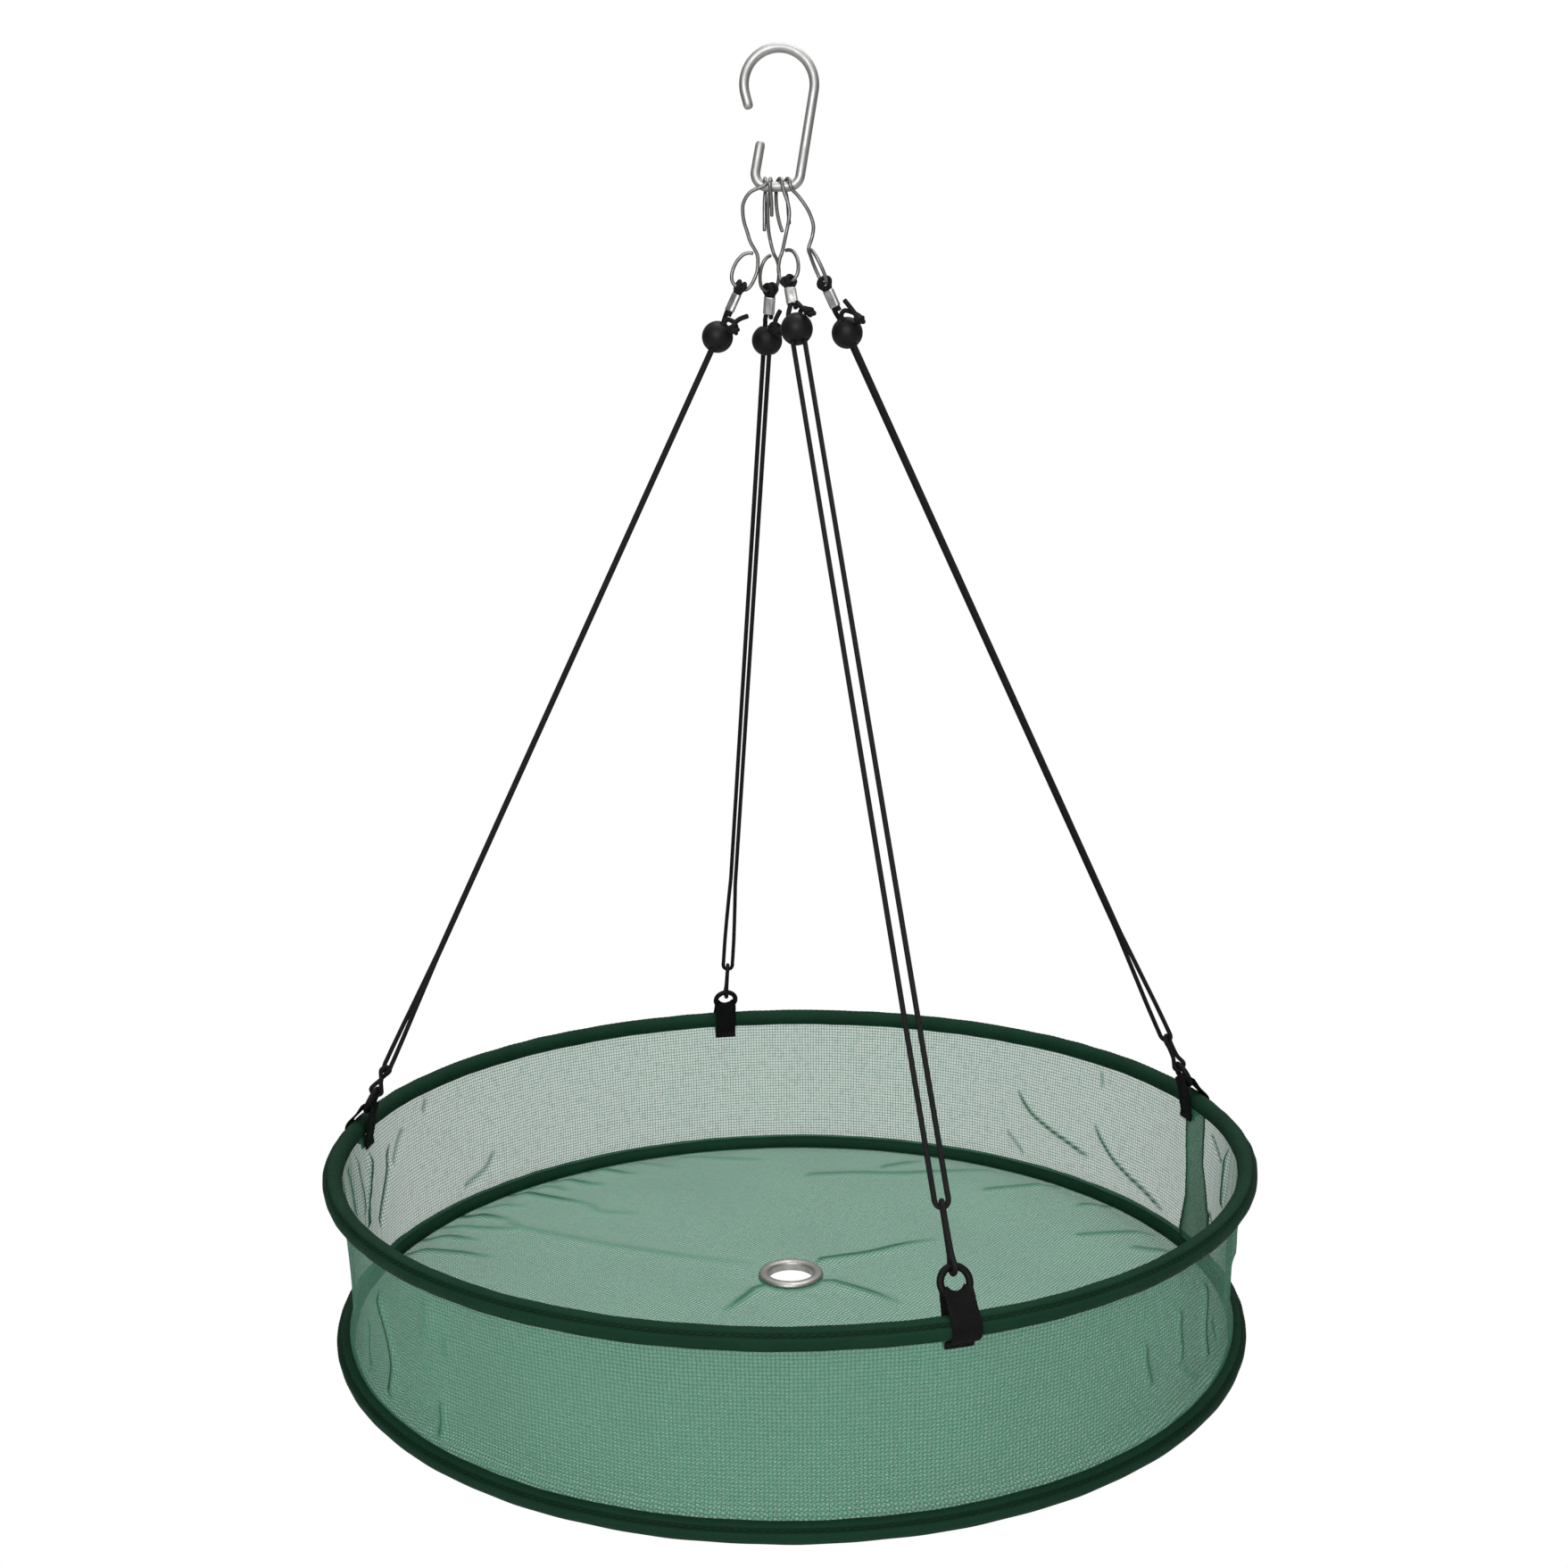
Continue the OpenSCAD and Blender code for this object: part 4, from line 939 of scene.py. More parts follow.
def binding_radius(roll, travel):
    """Roll radius less a groove, with puckers of one stitch length that fade away from the groove.

    The groove is a flat-bottomed bell curve of the angle from its middle. Below it the cloth's edge stands
    slightly proud. The waves have unlike lengths, so the lumps that they add up to don't repeat.
    """
    off = (roll - GROOVE_AT + 180) % 360 - 180
    groove = bell((off / GROOVE_HALF) ** 2)
    edge = EDGE_UP * bell((off + GROOVE_HALF + EDGE_OFF) / EDGE_HALF)
    pucker = 0.11 * np.sin(2 * np.pi * travel / STITCH_L + 0.02 * roll)
    pucker = pucker + 0.08 * np.sin(2 * np.pi * travel / LONG_PUCKER_L + 1.7)
    lumps = 0.07 * np.sin(travel / 7.9 + np.radians(roll))
    lumps = lumps + 0.05 * np.sin(travel / 3.3 - 2 * np.radians(roll))
    pulled = bell(off / PULL_HALF) * (1 - groove) * pucker
    return ROLL_R - GROOVE_DEEP * groove + edge + pulled + lumps, groove


def binding_grid(hoop_r, z, slack, rows=1200, cols=36):
    """A torus: rows go round the hoop and columns round the roll, from its outer side upwards."""
    a, roll = full_turn(rows)[:, None], 360 * np.arange(cols) / cols
    r, groove = binding_radius(roll, a * hoop_r)
    r = r - slack
    out = hoop_r + r * cos(roll)
    points = columns(out * np.cos(a), out * np.sin(a), z + r * sin(roll))
    uv = even_map(rows + 1, cols, 2 * np.pi * hoop_r / rows, np.pi * BINDING_D / cols)
    return (points, uv, True, True), np.broadcast_to(groove, r.shape)


def bead_grids(centres, headings, ups, half_l, half_w, rows=7, cols=6):
    """Short beads, all at once: an ellipsoid of half length and half width laid along each heading."""
    t, a = np.pi * (np.arange(rows)[:, None, None] + 0.5) / rows, full_turn(cols)[:, None]
    ahead, side, lift = (v[:, None, None] for v in (headings, np.cross(headings, ups), ups))
    round_it = half_w * np.sin(t) ** 0.6 * (np.cos(a) * side + np.sin(a) * lift)
    points = centres[:, None, None] + half_l * np.cos(t) * ahead + round_it
    return [(bead, even_map(rows, cols, 0.4, 0.3), False, False) for bead in points]


def hoop_stitches(hoop_r, z, slack):
    """One bead for each stitch, in the bottom of the groove, all leaning a little to one side."""
    a = full_turn(round(2 * np.pi * hoop_r / STITCH_L))
    out, around, up = columns(np.cos(a), np.sin(a), 0), columns(-np.sin(a), np.cos(a), 0), np.array([0, 0, 1])
    c, s = cos(GROOVE_AT), sin(GROOVE_AT)
    lift, across_it = c * out + s * up, c * up - s * out
    centres = hoop_r * out + z * up + (ROLL_R - GROOVE_DEEP + 0.12 - slack) * lift
    return bead_grids(centres, unit(around + 0.18 * across_it), lift, 0.36 * STITCH_L, 0.28)


for level, hoop_r, z, slack, body in (("upper", UPPER_R, -DROP, 0, "rigging"),
                                      ("lower", LOWER_R, LOWER_Z, 0.3, "tray_floor")):
    grid, groove = binding_grid(hoop_r, z, slack)
    stitches = hoop_stitches(hoop_r, z, slack)
    make_piece(f"{level}_binding", [grid], green_binding, "green_binding", body, groove=groove)
    make_piece(f"{level}_binding_stitches", stitches, green_sewing, "green_binding", body)
    print(level, "binding:", groove.size, "points,", len(stitches), "stitches")

# %% [markdown]
# ## The webbing tabs
# A tab is a short piece of webbing that goes through a ring, over the rim, and down both sides of the wall,
# where it is sewn. It is a flat ribbon along its middle line, full width on the rim and gathered to half in
# the ring.

# %% Tabs
WEB_W, WEB_T, WEB_IN_L, WEB_OUT_L = 10.9, 1.1, 4.5, 4.3
NET_T, WAIST, WALL_TOP_IN, WALL_LOW_IN = 0.5, 1.5, 2, 3
WEB_BOW = WEB_W**2 / (8 * UPPER_R)
SEWN_FIT, RING_FIT, RING_NEAR, GATHER_W, GATHER_RATE = 0.05, 0.15, 2.6, 0.25, 0.88
NECK_FROM, NECK_OVER, CUP_FROM, CUP_OVER = 5.9, 2.2, 5.2, 3.4
TAB_STITCHES, TAB_STITCH_GAP = 5, 1.95


def ease(x):
    """3 x^2 - 2 x^3 of a number that is held between 0 and 1: a smooth step."""
    x = np.clip(x, 0, 1)
    return x * x * (3 - 2 * x)


def wall_radius(share):
    """Outer radius of the wall: straight between the hoops, less a shallow bow that is deepest halfway."""
    return mix(UPPER_R - WALL_TOP_IN, LOWER_R - WALL_LOW_IN, share) - 4 * WAIST * share * (1 - share)


def leg_point(depth, side):
    """Middle of a tab's leg below the binding, inside (-1) or outside (1) the wall: from the hoop, and up."""
    low = BINDING_D / 2 + depth
    gap = (NET_T + WEB_T) / 2 + SEWN_FIT + WEB_BOW
    return [wall_radius(low / TRAY_H) - UPPER_R - NET_T / 2 + side * gap, -low]


def web_line(i):
    """Up the inner leg, over the roll, round the ring's rod, down over the roll and down the outer leg."""
    lean, reach = math.degrees(math.acos(LINE_UP[i][2])), RING_RISE - RING_R
    low_r, top_r = (BINDING_D + WEB_T) / 2 + SEWN_FIT + WEB_BOW, (RING_ROD_D + WEB_T) / 2 + RING_FIT
    spread = math.degrees(math.acos((low_r - top_r) / reach))
    inner, outer = 90 + lean + spread, 90 + lean - spread
    up, over, down = (np.linspace(*turn) for turn in ((190, inner, 4), (inner, outer, 17), (outer, -62, 17)))
    rod = columns(top_r * cos(over) - reach * sin(lean), top_r * sin(over) + reach * cos(lean))
    return np.concatenate([
        [leg_point(WEB_IN_L, -1), leg_point(WEB_IN_L / 3, -1)], low_r * columns(cos(up), sin(up)), rod,
        low_r * columns(cos(down), sin(down)), [leg_point(WEB_OUT_L / 2, 1), leg_point(WEB_OUT_L, 1)]])


def tab_frame(i):
    """Outward, along the rim, and up, at a tab."""
    c, s = cos(TAB_AZ[i]), sin(TAB_AZ[i])
    return np.array([c, s, 0]), np.array([-s, c, 0]), np.array([0, 0, 1.0])


def tab_grid(i, cols=40):
    """A ribbon: a flat rounded profile along the web line, as wide as the ring lets it be at each height."""
    out, along_rim, up_z = tab_frame(i)
    flat = curve(split_long(web_line(i), 1.2), 2)
    path = RIM[i] + flat[:, :1] * out + flat[:, 1:] * up_z
    face = np.cross(unit(np.gradient(path, axis=0)), along_rim)
    height, travel = ((path - RIM[i]) @ LINE_UP[i])[:, None], along(path)[:, None]
    neck, cup = ease((height - NECK_FROM) / NECK_OVER), ease((height - CUP_FROM) / CUP_OVER)
    to_ring = np.maximum(RING_RISE - height, RING_NEAR)
    half_w = np.minimum(WEB_W / 2, GATHER_W + GATHER_RATE * to_ring) + 0.06 * np.sin(travel * 5.3)
    c, s = np.cos(full_turn(cols)), np.sin(full_turn(cols))
    x = np.sign(c) * np.abs(c) ** 0.45
    y = np.sign(s) * np.abs(s) ** 0.7 * (1 - 0.12 * (1 - np.abs(x)) ** 2)
    across_it, thick = half_w * x, WEB_T / 2 * (1 + 0.12 * neck) * y
    # The legs lie against the round rim, so they bow with it; the neck does not.
    bow = -(across_it**2) / (2 * UPPER_R) * (1 - neck)
    # Round the ring's rod each crosswise line bends into a part of a circle about the ring's centre.
    rise = cup * (to_ring - np.sqrt(np.maximum(to_ring**2 - across_it**2, 0.09)))
    points = (path[:, None] + across_it[..., None] * along_rim + thick[..., None] * face[:, None]
              + bow[..., None] * out + rise[..., None] * LINE_UP[i])
    return points, columns(np.append(along(points[0]), 26.0), travel), False, False


def tab_stitches(i):
    """Rows of five beads: one on the outer leg, two on the inner leg."""
    out, along_rim, up_z = tab_frame(i)
    slots = (np.arange(TAB_STITCHES)[:, None] - TAB_STITCHES // 2) * TAB_STITCH_GAP
    bow = slots * along_rim - slots**2 / (2 * UPPER_R) * out
    beads = []
    for side, depth in ((1, WEB_OUT_L - 1.7), (-1, 2.2), (-1, WEB_IN_L - 1.6)):
        x, y = leg_point(depth, side)
        centres = RIM[i] + (x + side * (WEB_T / 2 - 0.02)) * out + y * up_z + bow
        headings, ups = (np.tile(v, (TAB_STITCHES, 1)) for v in (unit(along_rim + 0.06 * up_z), side * out))
        beads += bead_grids(centres, headings, ups, 0.82, 0.24)
    return beads


for i, side in enumerate(SIDES):
    make_piece(f"rim_tab_{side}", [tab_grid(i)], black_webbing, "black_webbing", "rigging")
    make_piece(f"rim_tab_{side}_stitches", tab_stitches(i), black_thread, "black_webbing", "rigging")
print("tabs: webbing", WEB_W, "mm wide,", len(web_line(0)), "points in the middle line")

# %% [markdown]
# ## Pleats and creases
# The net wall was cut straight and sewn between hoops that pull it tight, but it keeps the creases that it
# got when the tray was folded flat. Each crease is a line of points on the sheet. Every point of the mesh
# measures its distance to the line, and a smooth crest over that distance lifts the cloth, makes it closer
# and paints shade into the crease.


# %% A crest along a line
def line_distance(x, y, line):
    """Distance of each point to the nearest part of a line of points, and the share along the line there."""
    best, share = np.full(x.shape, np.inf), np.zeros(x.shape)
    travel = along(line)
    for k in range(len(line) - 1):
        (x0, y0), d = line[k], line[k + 1] - line[k]
        t = np.clip(((x - x0) * d[0] + (y - y0) * d[1]) / (d @ d), 0, 1)
        off = np.hypot(x - x0 - t * d[0], y - y0 - t * d[1])
        near = off < best
        best = np.where(near, off, best)
        share = np.where(near, mix(travel[k], travel[k + 1], t) / travel[-1], share)
    return best, share


def crest(x, y, line, height, half, fade, wide):
    """Lift height exp(1 - sqrt(1 + (d / half)^2)) and a narrower darkness, the painted shade of the crease;
    both fade at the line's ends.
    """
    off, share = line_distance(x, y, curve(np.asarray(line, float), 4))
    ends = np.clip(share / fade[0], 0, 1) * np.clip((1 - share) / fade[1], 0, 1)
    lift = height * np.exp(1 - np.sqrt(1 + (off / half) ** 2)) * ends
    return lift, bell(off / (wide * half)) * np.sqrt(ends)


# %% The wall's creases
# Each row is the lift in mm outwards, the half width in mm, the darkness of the painted shade in the crease,
# and the line's points as azimuth and share of the way down.
WALL_CREASES = [
    (-2.6, 2.0, 0.95, (174.2, .15), (175, .25), (176.7, .37), (178.5, .49), (178.2, .62)),
    (2.4, 2.0, 0.9, (167, .23), (167.7, .38), (169.6, .5), (171.4, .62), (172.6, .72)),
    (1.8, 1.8, 0.6, (183.3, .07), (182.4, .19), (181.9, .31), (181.6, .47)),
    (-1.6, 1.8, 0.55, (179.4, .08), (179.9, .2), (179.2, .36), (179.8, .5)),
    (1.4, 2.4, 0.3, (156.1, .08), (156.8, .18)),
    (1.6, 2.6, 0.3, (162.1, .2), (164.2, .28), (166.2, .4)),
    (1.4, 2.4, 0.3, (142.4, .65), (143.9, .76), (146.7, .81), (149.2, .84)),
    (-1.2, 1.6, 0.6, (50.7, .38), (47.9, .52), (44, .61), (41, .66), (38.5, .7), (36.4, .73)),
    (-1.2, 1.6, 0.6, (35.6, .47), (33.6, .57), (31, .67), (27.2, .75), (25.7, .77), (19.2, .86)),
    (-0.8, 1.8, 0.3, (52.5, .71), (50.1, .81), (49.2, .86)),
    (0.8, 2.0, 0.25, (35.1, .08), (34.7, .2)),
    (1.0, 1.7, 0.5, (6.6, .11), (3.1, .2), (1.4, .23)),
    (-2.4, 1.9, 0.9, (358.4, .06), (358, .27), (357.5, .46)),
    (1.8, 2.0, 0.7, (350.8, .04), (352, .26), (354.8, .46)),
    (1.2, 1.8, 0.5, (4.9, .6), (3.3, .7)),
    (2.4, 2.1, 0.75, (215.3, .25), (215.3, .36), (216.8, .48), (217.7, .59), (217.7, .68), (216.5, .83),
     (215.9, .9)),
    (1.4, 2.6, 0.3, (226.3, .15), (226.2, .28), (224.8, .38)),
    (1.8, 2.1, 0.5, (227.8, .69), (227.8, .81), (226.9, .91)),
    (1.2, 2.6, 0.3, (229.6, .3), (229.1, .43)),
    (-1.8, 2.1, 0.5, (208.2, .58), (206.8, .73), (207, .84), (208.7, .86)),
    (2.4, 2.0, 0.75, (325.1, .27), (326.5, .41), (326.8, .56), (327.9, .72), (328.8, .82)),
    (1.8, 2.0, 0.55, (318.8, .31), (319, .44), (319.7, .56), (319.8, .67)),
    (1.2, 2.4, 0.3, (319.8, .67), (322.7, .76), (325.8, .84)),
    (1.6, 2.0, 0.5, (312.4, .41), (312.5, .49), (313, .57), (313.9, .68)),
    (-1.6, 2.0, 0.5, (331.9, .63), (333.7, .74), (334.6, .82)),
    (1.6, 2.2, 0.5, (346.6, .05), (347.4, .22), (346.8, .4), (348, .6)),
    (-1.4, 2.2, 0.4, (342.6, .12), (341.7, .3), (342.4, .52), (341.5, .75)),
    (1.4, 2.4, 0.3, (337.6, .2), (338.6, .45), (338, .7), (339.4, .86)),
    (1.4, 2.2, 0.4, (187.2, .05), (186.6, .2), (187.8, .4), (187.1, .6)),
    (-1.4, 2.2, 0.35, (191.4, .1), (192.2, .3), (191.2, .5), (191.9, .72))]
CREASE_LIFT, CREASE_HALF, CREASE_DARK, CREASE_FADE, CREASE_NEAR = 0.9, 0.75, 1.45, (0.12, 0.12), 30
GATHERED_SHADED_AZ, GATHERED_SHADED_HALF = (189, 348), 15


def off_angle(az, middle):
    """Azimuths measured from a middle one, between -180 and 180."""
    return (az - middle + 180) % 360 - 180


def wall_shape(az, share):
    """How far the wall is lifted outwards, and how close it is and how much painted shade it gets, at
    azimuths and shares of the way down.
    """
    inside_hems = np.clip((share - 0.05) / 0.1, 0, 1) * np.clip((0.95 - share) / 0.1, 0, 1)
    middle, a = 4 * share * (1 - share), np.radians(az)
    waves = 0.7 * np.sin(5 * a + 0.6) + 0.45 * np.sin(11 * a + 2.1 + 2 * share)
    lift = middle * (waves + 0.3 * np.sin(23 * a - 1.3 * share))
    # At both sides of the tray the net is gathered into many fine pleats, so it is closer there; it is also
    # painted darker there as shade, where the wall is seen edge-on and turned from the front lamp.
    sides = sum(bell(off_angle(az, at) / GATHERED_SHADED_HALF) for at in GATHERED_SHADED_AZ)
    wander = 3 * np.sin(az / 3.1) + 2.2 * share + 1.5 * np.sin(2.1 * share + az / 5)
    pleats = 0.5 + 0.5 * np.sin(az * 2.9 + wander)
    folded = sides * (0.34 + 0.14 * pleats**3)
    lift += 0.35 * sides * pleats * middle
    for height, half, dark, *line in WALL_CREASES:
        line_az, line_share = np.array(line).T
        line_mm = columns(np.radians(line_az) * LOWER_R, line_share * TRAY_H)
        shift = off_angle(az, line_az[0]) + line_az[0]
        near = np.abs(shift - line_az.mean()) < CREASE_NEAR
        x, y = np.radians(shift[near]) * LOWER_R, share[near] * TRAY_H
        rise, shade = crest(x, y, line_mm, CREASE_LIFT * height, CREASE_HALF * half, CREASE_FADE, 0.8)
        lift[near] += rise * inside_hems[near]
        folded[near] = np.maximum(folded[near], min(1, CREASE_DARK * dark) * shade)
    return lift, folded


print("creases in the wall:", len(WALL_CREASES))

# %% [markdown]
# ## The net wall
# The wall is one sheet of net, made as two skins 0.12 mm apart that are joined at both hems, so that it is
# closed and has a thickness. Both skins carry the same map, so their threads lie over each other. Seen
# square on, the holes line up; seen aslant they close, as in real net.

# %% Wall
WALL_ROWS, WALL_INSET, SKIN = 44, 0.05, 0.12
FLARE, FLARE_FROM, FLARE_OVER = 1.7, 0.87, 0.08
CREASED = [(0, 55), (142, 195), (206, 230), (312, 360)]
DOWN = np.linspace(0.012, 0.988, WALL_ROWS)[:, None]


def wall_columns(fine=0.19, wide=0.9):
    """Azimuths round the wall, close together in the creased stretches and wider in the smooth ones."""
    marks = sorted({0, 360} | {a for pair in CREASED for a in pair})
    out = []
    for a, b in zip(marks[:-1], marks[1:]):
        step = fine if (a, b) in CREASED else wide
        out.append(np.linspace(a, b, round((b - a) / step), endpoint=False))
    return np.concatenate(out)


def wall_skins(az, inset):
    """Radius less inset plus the lift, for both skins; the lowest part flares out to the lower roll's top."""
    share = np.broadcast_to(DOWN, az.shape)
    lift, folded = wall_shape(az % 360, share)
    lift = lift + FLARE * ease((share - FLARE_FROM) / FLARE_OVER)
    radii = [wall_radius(share) - depth + lift for depth in (inset, inset + SKIN)]
    return [columns(r * cos(az), r * sin(az), -DROP - TRAY_H * share) for r in radii], folded


def wall_map(az):
    """Round and down in mm."""
    return columns(np.radians(az) * LOWER_R, DOWN * TRAY_H)


def sheet_grid(skins, flat):
    """Two skins joined at both edges. Both carry one flat map, which has a column more than they have."""
    points = np.concatenate([skins[0], skins[1][::-1]])
    return points, np.concatenate([flat, flat[::-1], flat[:1]]), True, True


def both_skins(value):
    return np.concatenate([value, value[::-1]])


az = np.tile(wall_columns(), (WALL_ROWS, 1))
skins, folded = wall_skins(az, WALL_INSET)
grid = sheet_grid(skins, wall_map(np.concatenate([az, az[:, :1] + 360], 1)))
wall = make_piece("side_mesh", [grid], green_net, "green_net", None, folded=both_skins(folded))
print("wall:", folded.size, "points in each skin, most folded", round(float(folded.max()), 2))

# %% Seam
# The band where the strip's ends overlap wanders between these two edges, as share down and azimuth.
SEAM_LEFT = [(.0, 14.6), (.09, 14.4), (.42, 12.8), (.63, 12.6), (.88, 14.2), (1, 15.4)]
SEAM_RIGHT = [(.0, 9.0), (.09, 8.5), (.34, 7.7), (.47, 6.1), (.6, 4.9), (.8, 3.6), (1, 2.2)]
SEAM_COLS, SEAM_GAP, HEM_W, STITCH_PULL_L = 48, 0.12, 0.1, 4.1

turn = np.tile(np.linspace(0, 1, SEAM_COLS), (WALL_ROWS, 1))
left, right = (np.interp(DOWN, *np.array(edge).T) for edge in (SEAM_LEFT, SEAM_RIGHT))
az = mix(right, left, turn)
skins, _ = wall_skins(az, WALL_INSET + SKIN + SEAM_GAP)
hem = np.maximum(bell(turn / HEM_W), bell((1 - turn) / HEM_W))
pucker = -0.25 * hem * (1 + 0.5 * np.sin(DOWN * TRAY_H * 2 * np.pi / STITCH_PULL_L))
out = columns(cos(az), sin(az), 0)
skins = [skins[0] + 0.4 * pucker[..., None] * out, skins[1] + pucker[..., None] * out]
flat = wall_map(az)
grid = (np.concatenate([skins[0], skins[1][:, ::-1]], 1),
        np.concatenate([flat, flat[:, ::-1], flat[:, :1]], 1), False, True)
shade = 0.15 + 0.8 * hem
seam = make_piece("side_seam", [grid], green_seam, "green_net", None,
                  folded=np.concatenate([shade, shade[:, ::-1]], 1))
print("seam:", np.round([(left - right).min(), (left - right).max()], 1), "degrees wide")

# %% [markdown]
# ## The net floor
# The floor is a round sheet, held by the lower hoop and pierced by the eyelet. Its points run from the
# eyelet's circle, which is off the middle, out to the hoop. Creases radiate from the hoop and from the
# eyelet.

# %% Floor
EYELET_BACK, EYELET_D, EYELET_BORE, WASHER_T, LIP_H = 15, 29.5, 20, 1, 0.8
FLOOR_ROWS, FLOOR_COLS, FLOOR_SKIN, CLOTH_TURN = 72, 620, 0.22, 35
FLOOR_IN_FIT, FLOOR_OUT_FIT = 0.75, 2.2
HELD_IN_R, HELD_IN_W, HELD_OUT_R, HELD_OUT_W = 14.5, 6, 188.5, 8
DIP, DIP_FROM, DIP_OVER, FLOOR_FADE, FLOOR_DARK = 2.3, 177, 12, (0.05, 0.35), 1.6
# Each row is the lift in mm, the half width in mm, the darkness of the painted shade under the fold, and the
# line's points as x and y in mm.
FLOOR_CREASES = [
    (1.5, 1.9, 0.6, (-178, 99), (-162, 94), (-150, 90), (-138, 86)),
    (0.7, 2.2, 0.22, (-138, 86), (-132, 75), (-93, 54), (-71, 46), (-15, 27)),
    (1.4, 1.9, 0.55, (-150, 124), (-141, 121), (-121, 111), (-101, 104)),
    (0.7, 2.2, 0.2, (-101, 104), (-95, 92), (-74, 89)),
    (1.2, 1.9, 0.5, (-128, 143), (-118, 138), (-105, 131), (-95, 130)),
    (1.2, 1.9, 0.5, (-110, 156), (-98, 150), (-88, 145), (-80, 145)),
    (1.3, 1.9, 0.5, (-182, 66), (-175, 65), (-161, 63), (-150, 61)),
    (1.3, 1.9, 0.5, (-184, 49), (-178, 47), (-158, 43), (-139, 39)),
    (1.0, 1.8, 0.45, (-10, 7), (-16, 1), (-20, -6), (-30, -22)),
    (1.3, 1.8, 0.5, (11, 28), (25, 34), (37, 39), (56, 49), (71, 55)),
    (1.1, 1.8, 0.45, (12, 10), (23, 2), (38, -8), (49, -17)),
    (0.9, 2.0, 0.4, (7, 140), (35, 143), (62, 141), (96, 144), (110, 149)),
    (0.8, 2.0, 0.4, (48, 150), (71, 158)),
    (0.9, 2.0, 0.4, (98, 115), (117, 120), (135, 126), (144, 129)),
    (0.9, 2.0, 0.4, (143, 94), (159, 99), (168, 101)),
    (0.9, 2.0, 0.4, (136, 56), (157, 59), (177, 62)),
    (1.0, 2.0, 0.4, (160, 42), (169, 38), (182, 37)),
    (1.1, 1.8, 0.4, (-181, 83), (-168, 80), (-150, 75), (-128, 73)),
    (1.0, 1.7, 0.35, (-164, 108), (-150, 104), (-132, 102)),
    (1.0, 1.8, 0.35, (-140, 133), (-126, 128), (-112, 121)),
    (0.9, 1.8, 0.3, (-90, 167), (-74, 158), (-60, 155)),
    (0.8, 1.9, 0.3, (-60, 176), (-38, 168), (-12, 164))]


def floor_skins():
    """Points mixed from the eyelet's circle to the hoop's, lifted by creases and waves that fade at both.

    Near the hoop the sheet dips to a little below the middle of the roll.
    """
    a, t = full_turn(FLOOR_COLS), np.linspace(0, 1, FLOOR_ROWS)[:, None]
    r = mix(EYELET_BORE / 2 + FLOOR_IN_FIT, LOWER_R - FLOOR_OUT_FIT, t)
    x, y = r * np.cos(a), r * np.sin(a) + (1 - t) * EYELET_BACK
    r, from_eyelet = np.hypot(x, y), np.hypot(x, y - EYELET_BACK)
    free = np.clip((from_eyelet - HELD_IN_R) / HELD_IN_W, 0, 1)
    free = free * np.clip((HELD_OUT_R - r) / HELD_OUT_W, 0, 1)
    lift = 0.6 * np.sin(x / 31 + 0.5) * np.sin(y / 27 + 1.1) + 0.35 * np.sin(x / 13 + y / 19)
    lift += 0.3 * np.sin(6 * np.arctan2(y, x) + 1)
    folded = np.zeros(x.shape)
    for height, half, dark, *line in FLOOR_CREASES:
        rise, shade = crest(x, y, line, height, half, FLOOR_FADE, 1.1)
        lift += rise
        # The creases' darkness is painted shade under the folds.
        folded = np.maximum(folded, min(1, FLOOR_DARK * dark) * shade)
    z = LOWER_Z + lift * free - DIP * ease((r - DIP_FROM) / DIP_OVER)
    return [columns(x, y, z + side * FLOOR_SKIN / 2) for side in (1, -1)], folded


skins, folded = floor_skins()
c, s = cos(CLOTH_TURN), sin(CLOTH_TURN)
flat = skins[0][..., :2] @ np.array([[c, s], [-s, c]])  # the cloth's threads lie at an angle
grid = sheet_grid(skins, np.concatenate([flat, flat[:, :1]], 1))
tray_floor = make_piece("floor_mesh", [grid], green_floor, "green_net", "tray_floor",
                        folded=both_skins(folded))
print("floor:", folded.size, "points in each skin,", len(FLOOR_CREASES), "creases")

# %% [markdown]
# ## The wall and the seam
# When the tray folds flat, the wall's top stays with the upper hoop and its bottom follows the lower
# hoop. Here the wall and the seam belong to no body, and their placement is baked into their points.

# %% Sheets
for sheet in (wall, seam):
    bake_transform(sheet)
print("sheets:", wall.name, seam.name, tray_floor.name)

# %% [markdown]
# ## The eyelet and the hidden metal
# The eyelet is pressed from one disc, so it is a profile turned about its axis: a rolled flange above the
# net, a barrel through it and a lip below the washer. The washer, the hoop wires and the ferrules keep
# their solids and only get a finish, because their shapes are already right and they hardly show.

# %% Eyelet
EYELET_ROLL = (EYELET_D - EYELET_BORE) / 4
EYELET_TURNS, FLANGE_Z, FLANGE_FLAT = 128, 0.3, 0.92
LIP_OUT, LIP_UP = [0.15, 0.6, 1.2, 1.7, 1.75, 1.5, 0.65], [0.08, 0, 0, 0.15, 0.45, 0.72, LIP_H]


def eyelet_profile():
    """Radius and height above the net's middle: over the flange from its rim, down the bore, out and up."""
    a, r, low = np.linspace(4, 172, 22), EYELET_BORE / 2, -NET_T / 2 - WASHER_T - LIP_H
    flange = columns(r + EYELET_ROLL + EYELET_ROLL * cos(a),
                     FLANGE_Z + EYELET_ROLL * FLANGE_FLAT * sin(a) ** 0.8)
    bore = columns(r, np.linspace(FLANGE_Z, low + 0.3, 8))
    lip = columns(r + np.array(LIP_OUT), low + np.array(LIP_UP))
    back = columns(r + 0.62, np.linspace(low + LIP_H + 0.2, 0.24, 4))
    under = [[r + 2.4, 0.27], [EYELET_D / 2 - 0.35, 0.26]]
    return np.concatenate([flange, bore, lip, back, under])


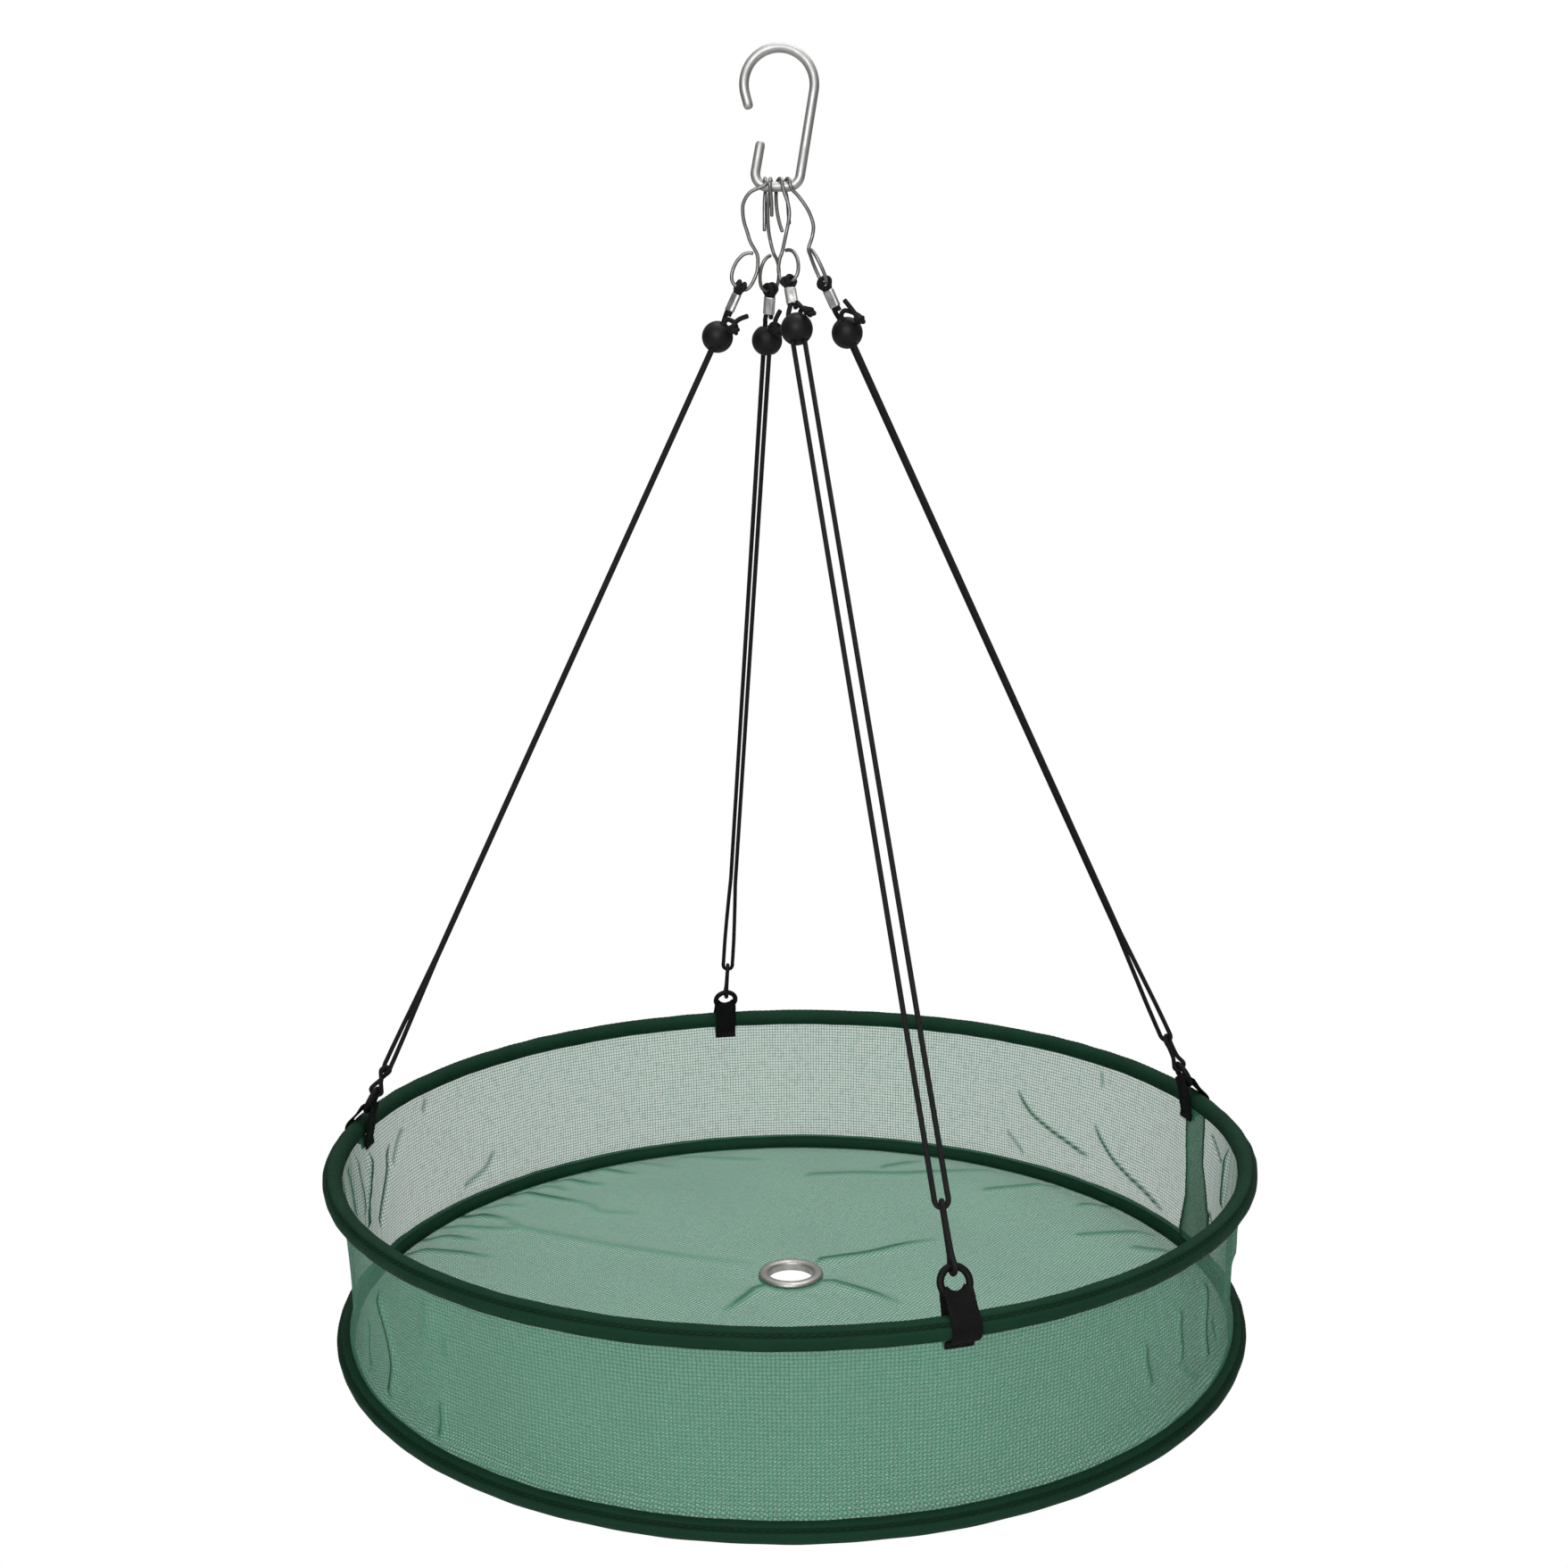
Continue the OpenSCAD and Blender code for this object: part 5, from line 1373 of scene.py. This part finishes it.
profile, a = eyelet_profile(), full_turn(EYELET_TURNS)
r, z = profile[:, :1], profile[:, 1:]
points = columns(r * np.cos(a), EYELET_BACK + r * np.sin(a), LOWER_Z + z)
travel = along(profile)
round_mm = np.arange(EYELET_TURNS + 1) * 2 * np.pi * 12 / EYELET_TURNS
uv = columns(np.append(travel, travel[-1] + 0.5)[:, None], round_mm)
make_piece("eyelet", [(points, uv, True, False)], eyelet_nickel, "eyelet_nickel", "tray_floor")
print("eyelet:", EYELET_D, "mm outside,", EYELET_BORE, "mm inside")

# %% Solids that stay
KEPT = {"upper_hoop_wire": hoop_steel, "lower_hoop_wire": hoop_steel, "upper_hoop_ferrule": ferrule_aluminium,
        "lower_hoop_ferrule": ferrule_aluminium, "eyelet_washer": washer_nickel}
for name, material in KEPT.items():
    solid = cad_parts[name]
    if not solid.material_slots:
        solid.data.materials.append(material)
    for place in solid.material_slots:
        place.material = material
print("solids with a new finish:", ", ".join(KEPT))

# %% [markdown]
# ## Light
# The tray hangs in front of white. Rays from the camera see plain white, and all other rays see a soft
# studio: bright above, dimmer at the sides and dark low down, which gives round wire a light band and a
# dark edge.

# %% World, floor and lamps
SKY = [(0.0, 0.15), (0.38, 0.17), (0.5, 0.3), (0.62, 0.42), (1.0, 0.6)]
FLOOR_HALF_M, FLOOR_Z_M = 6, -1.15


def white_to_camera(wires, kind, shader, output):
    """Camera rays see plain white from a node of a kind, and all other rays see the shader."""
    white = wires.put(kind, {"Color": (1, 1, 1, 1), "Strength": 1.0})
    seen = wires.put("ShaderNodeLightPath", out="Is Camera Ray")
    wires.feed(output.inputs["Surface"], wires.put("ShaderNodeMixShader", {0: seen, 1: shader, 2: white}))


world = bpy.data.worlds.new("studio")
world.use_nodes = True
bpy.context.scene.world = world
w = Wires(world.node_tree)
w.tree.nodes.clear()
direction = w.parts(w.put("ShaderNodeTexCoord", out="Generated"))
ramp = w.tree.nodes.new("ShaderNodeValToRGB")
w.feed(ramp.inputs[0], w.span(direction[2], -1.0, 1.0, kind="LINEAR"))
while len(ramp.color_ramp.elements) < len(SKY):
    ramp.color_ramp.elements.new(0.5)
for element, (at, value) in zip(ramp.color_ramp.elements, SKY):
    element.position, element.color = at, (value, value, value, 1)
cards = w.span(w.math("ABSOLUTE", direction[0]), 0.62, 0.8, 1.0, 0.35)
sky = w.blend(cards, (0, 0, 0), ramp.outputs[0])
studio = w.put("ShaderNodeBackground", {"Color": sky, "Strength": 1.0})
white_to_camera(w, "ShaderNodeBackground", studio, w.tree.nodes.new("ShaderNodeOutputWorld"))

floor_mesh = bpy.data.meshes.new("studio_floor")
square = [(FLOOR_HALF_M * x, FLOOR_HALF_M * y, FLOOR_Z_M) for x, y in ((-1, -1), (1, -1), (1, 1), (-1, 1))]
floor_mesh.from_pydata(square, [], [(0, 1, 2, 3)])
studio_floor = add_object("studio_floor", floor_mesh)
pale = bpy.data.materials.new("pale_floor")
pale.use_nodes = True
w = Wires(pale.node_tree)
paint = w.put("ShaderNodeBsdfDiffuse", {"Color": (0.8, 0.8, 0.8, 1)})
surface = next(n for n in w.tree.nodes if n.type == "OUTPUT_MATERIAL")
white_to_camera(w, "ShaderNodeEmission", paint, surface)
floor_mesh.materials.append(pale)


def soft_lamp(name, at, aim, size, power):
    """A square lamp that faces a point: its own -Z axis is the direction to it."""
    lamp = bpy.data.lights.new(name, "AREA")
    lamp.shape, lamp.size, lamp.energy = "SQUARE", size, power
    back = unit(np.subtract(at, aim))
    holder = add_object(name, lamp)
    holder.matrix_world = placed(*across(back), back, at)
    holder.visible_camera = False


soft_lamp("front", (-0.25, -1.9, 0.35), (0, 0, -0.4), 1.2, 27)
soft_lamp("top", (0.3, 0.1, 1.2), (0, 0, -0.4), 1.2, 13)
scene = bpy.context.scene
scene.view_settings.view_transform = "Standard"
scene.view_settings.look = "None"
scene.cycles.transparent_max_bounces = 32
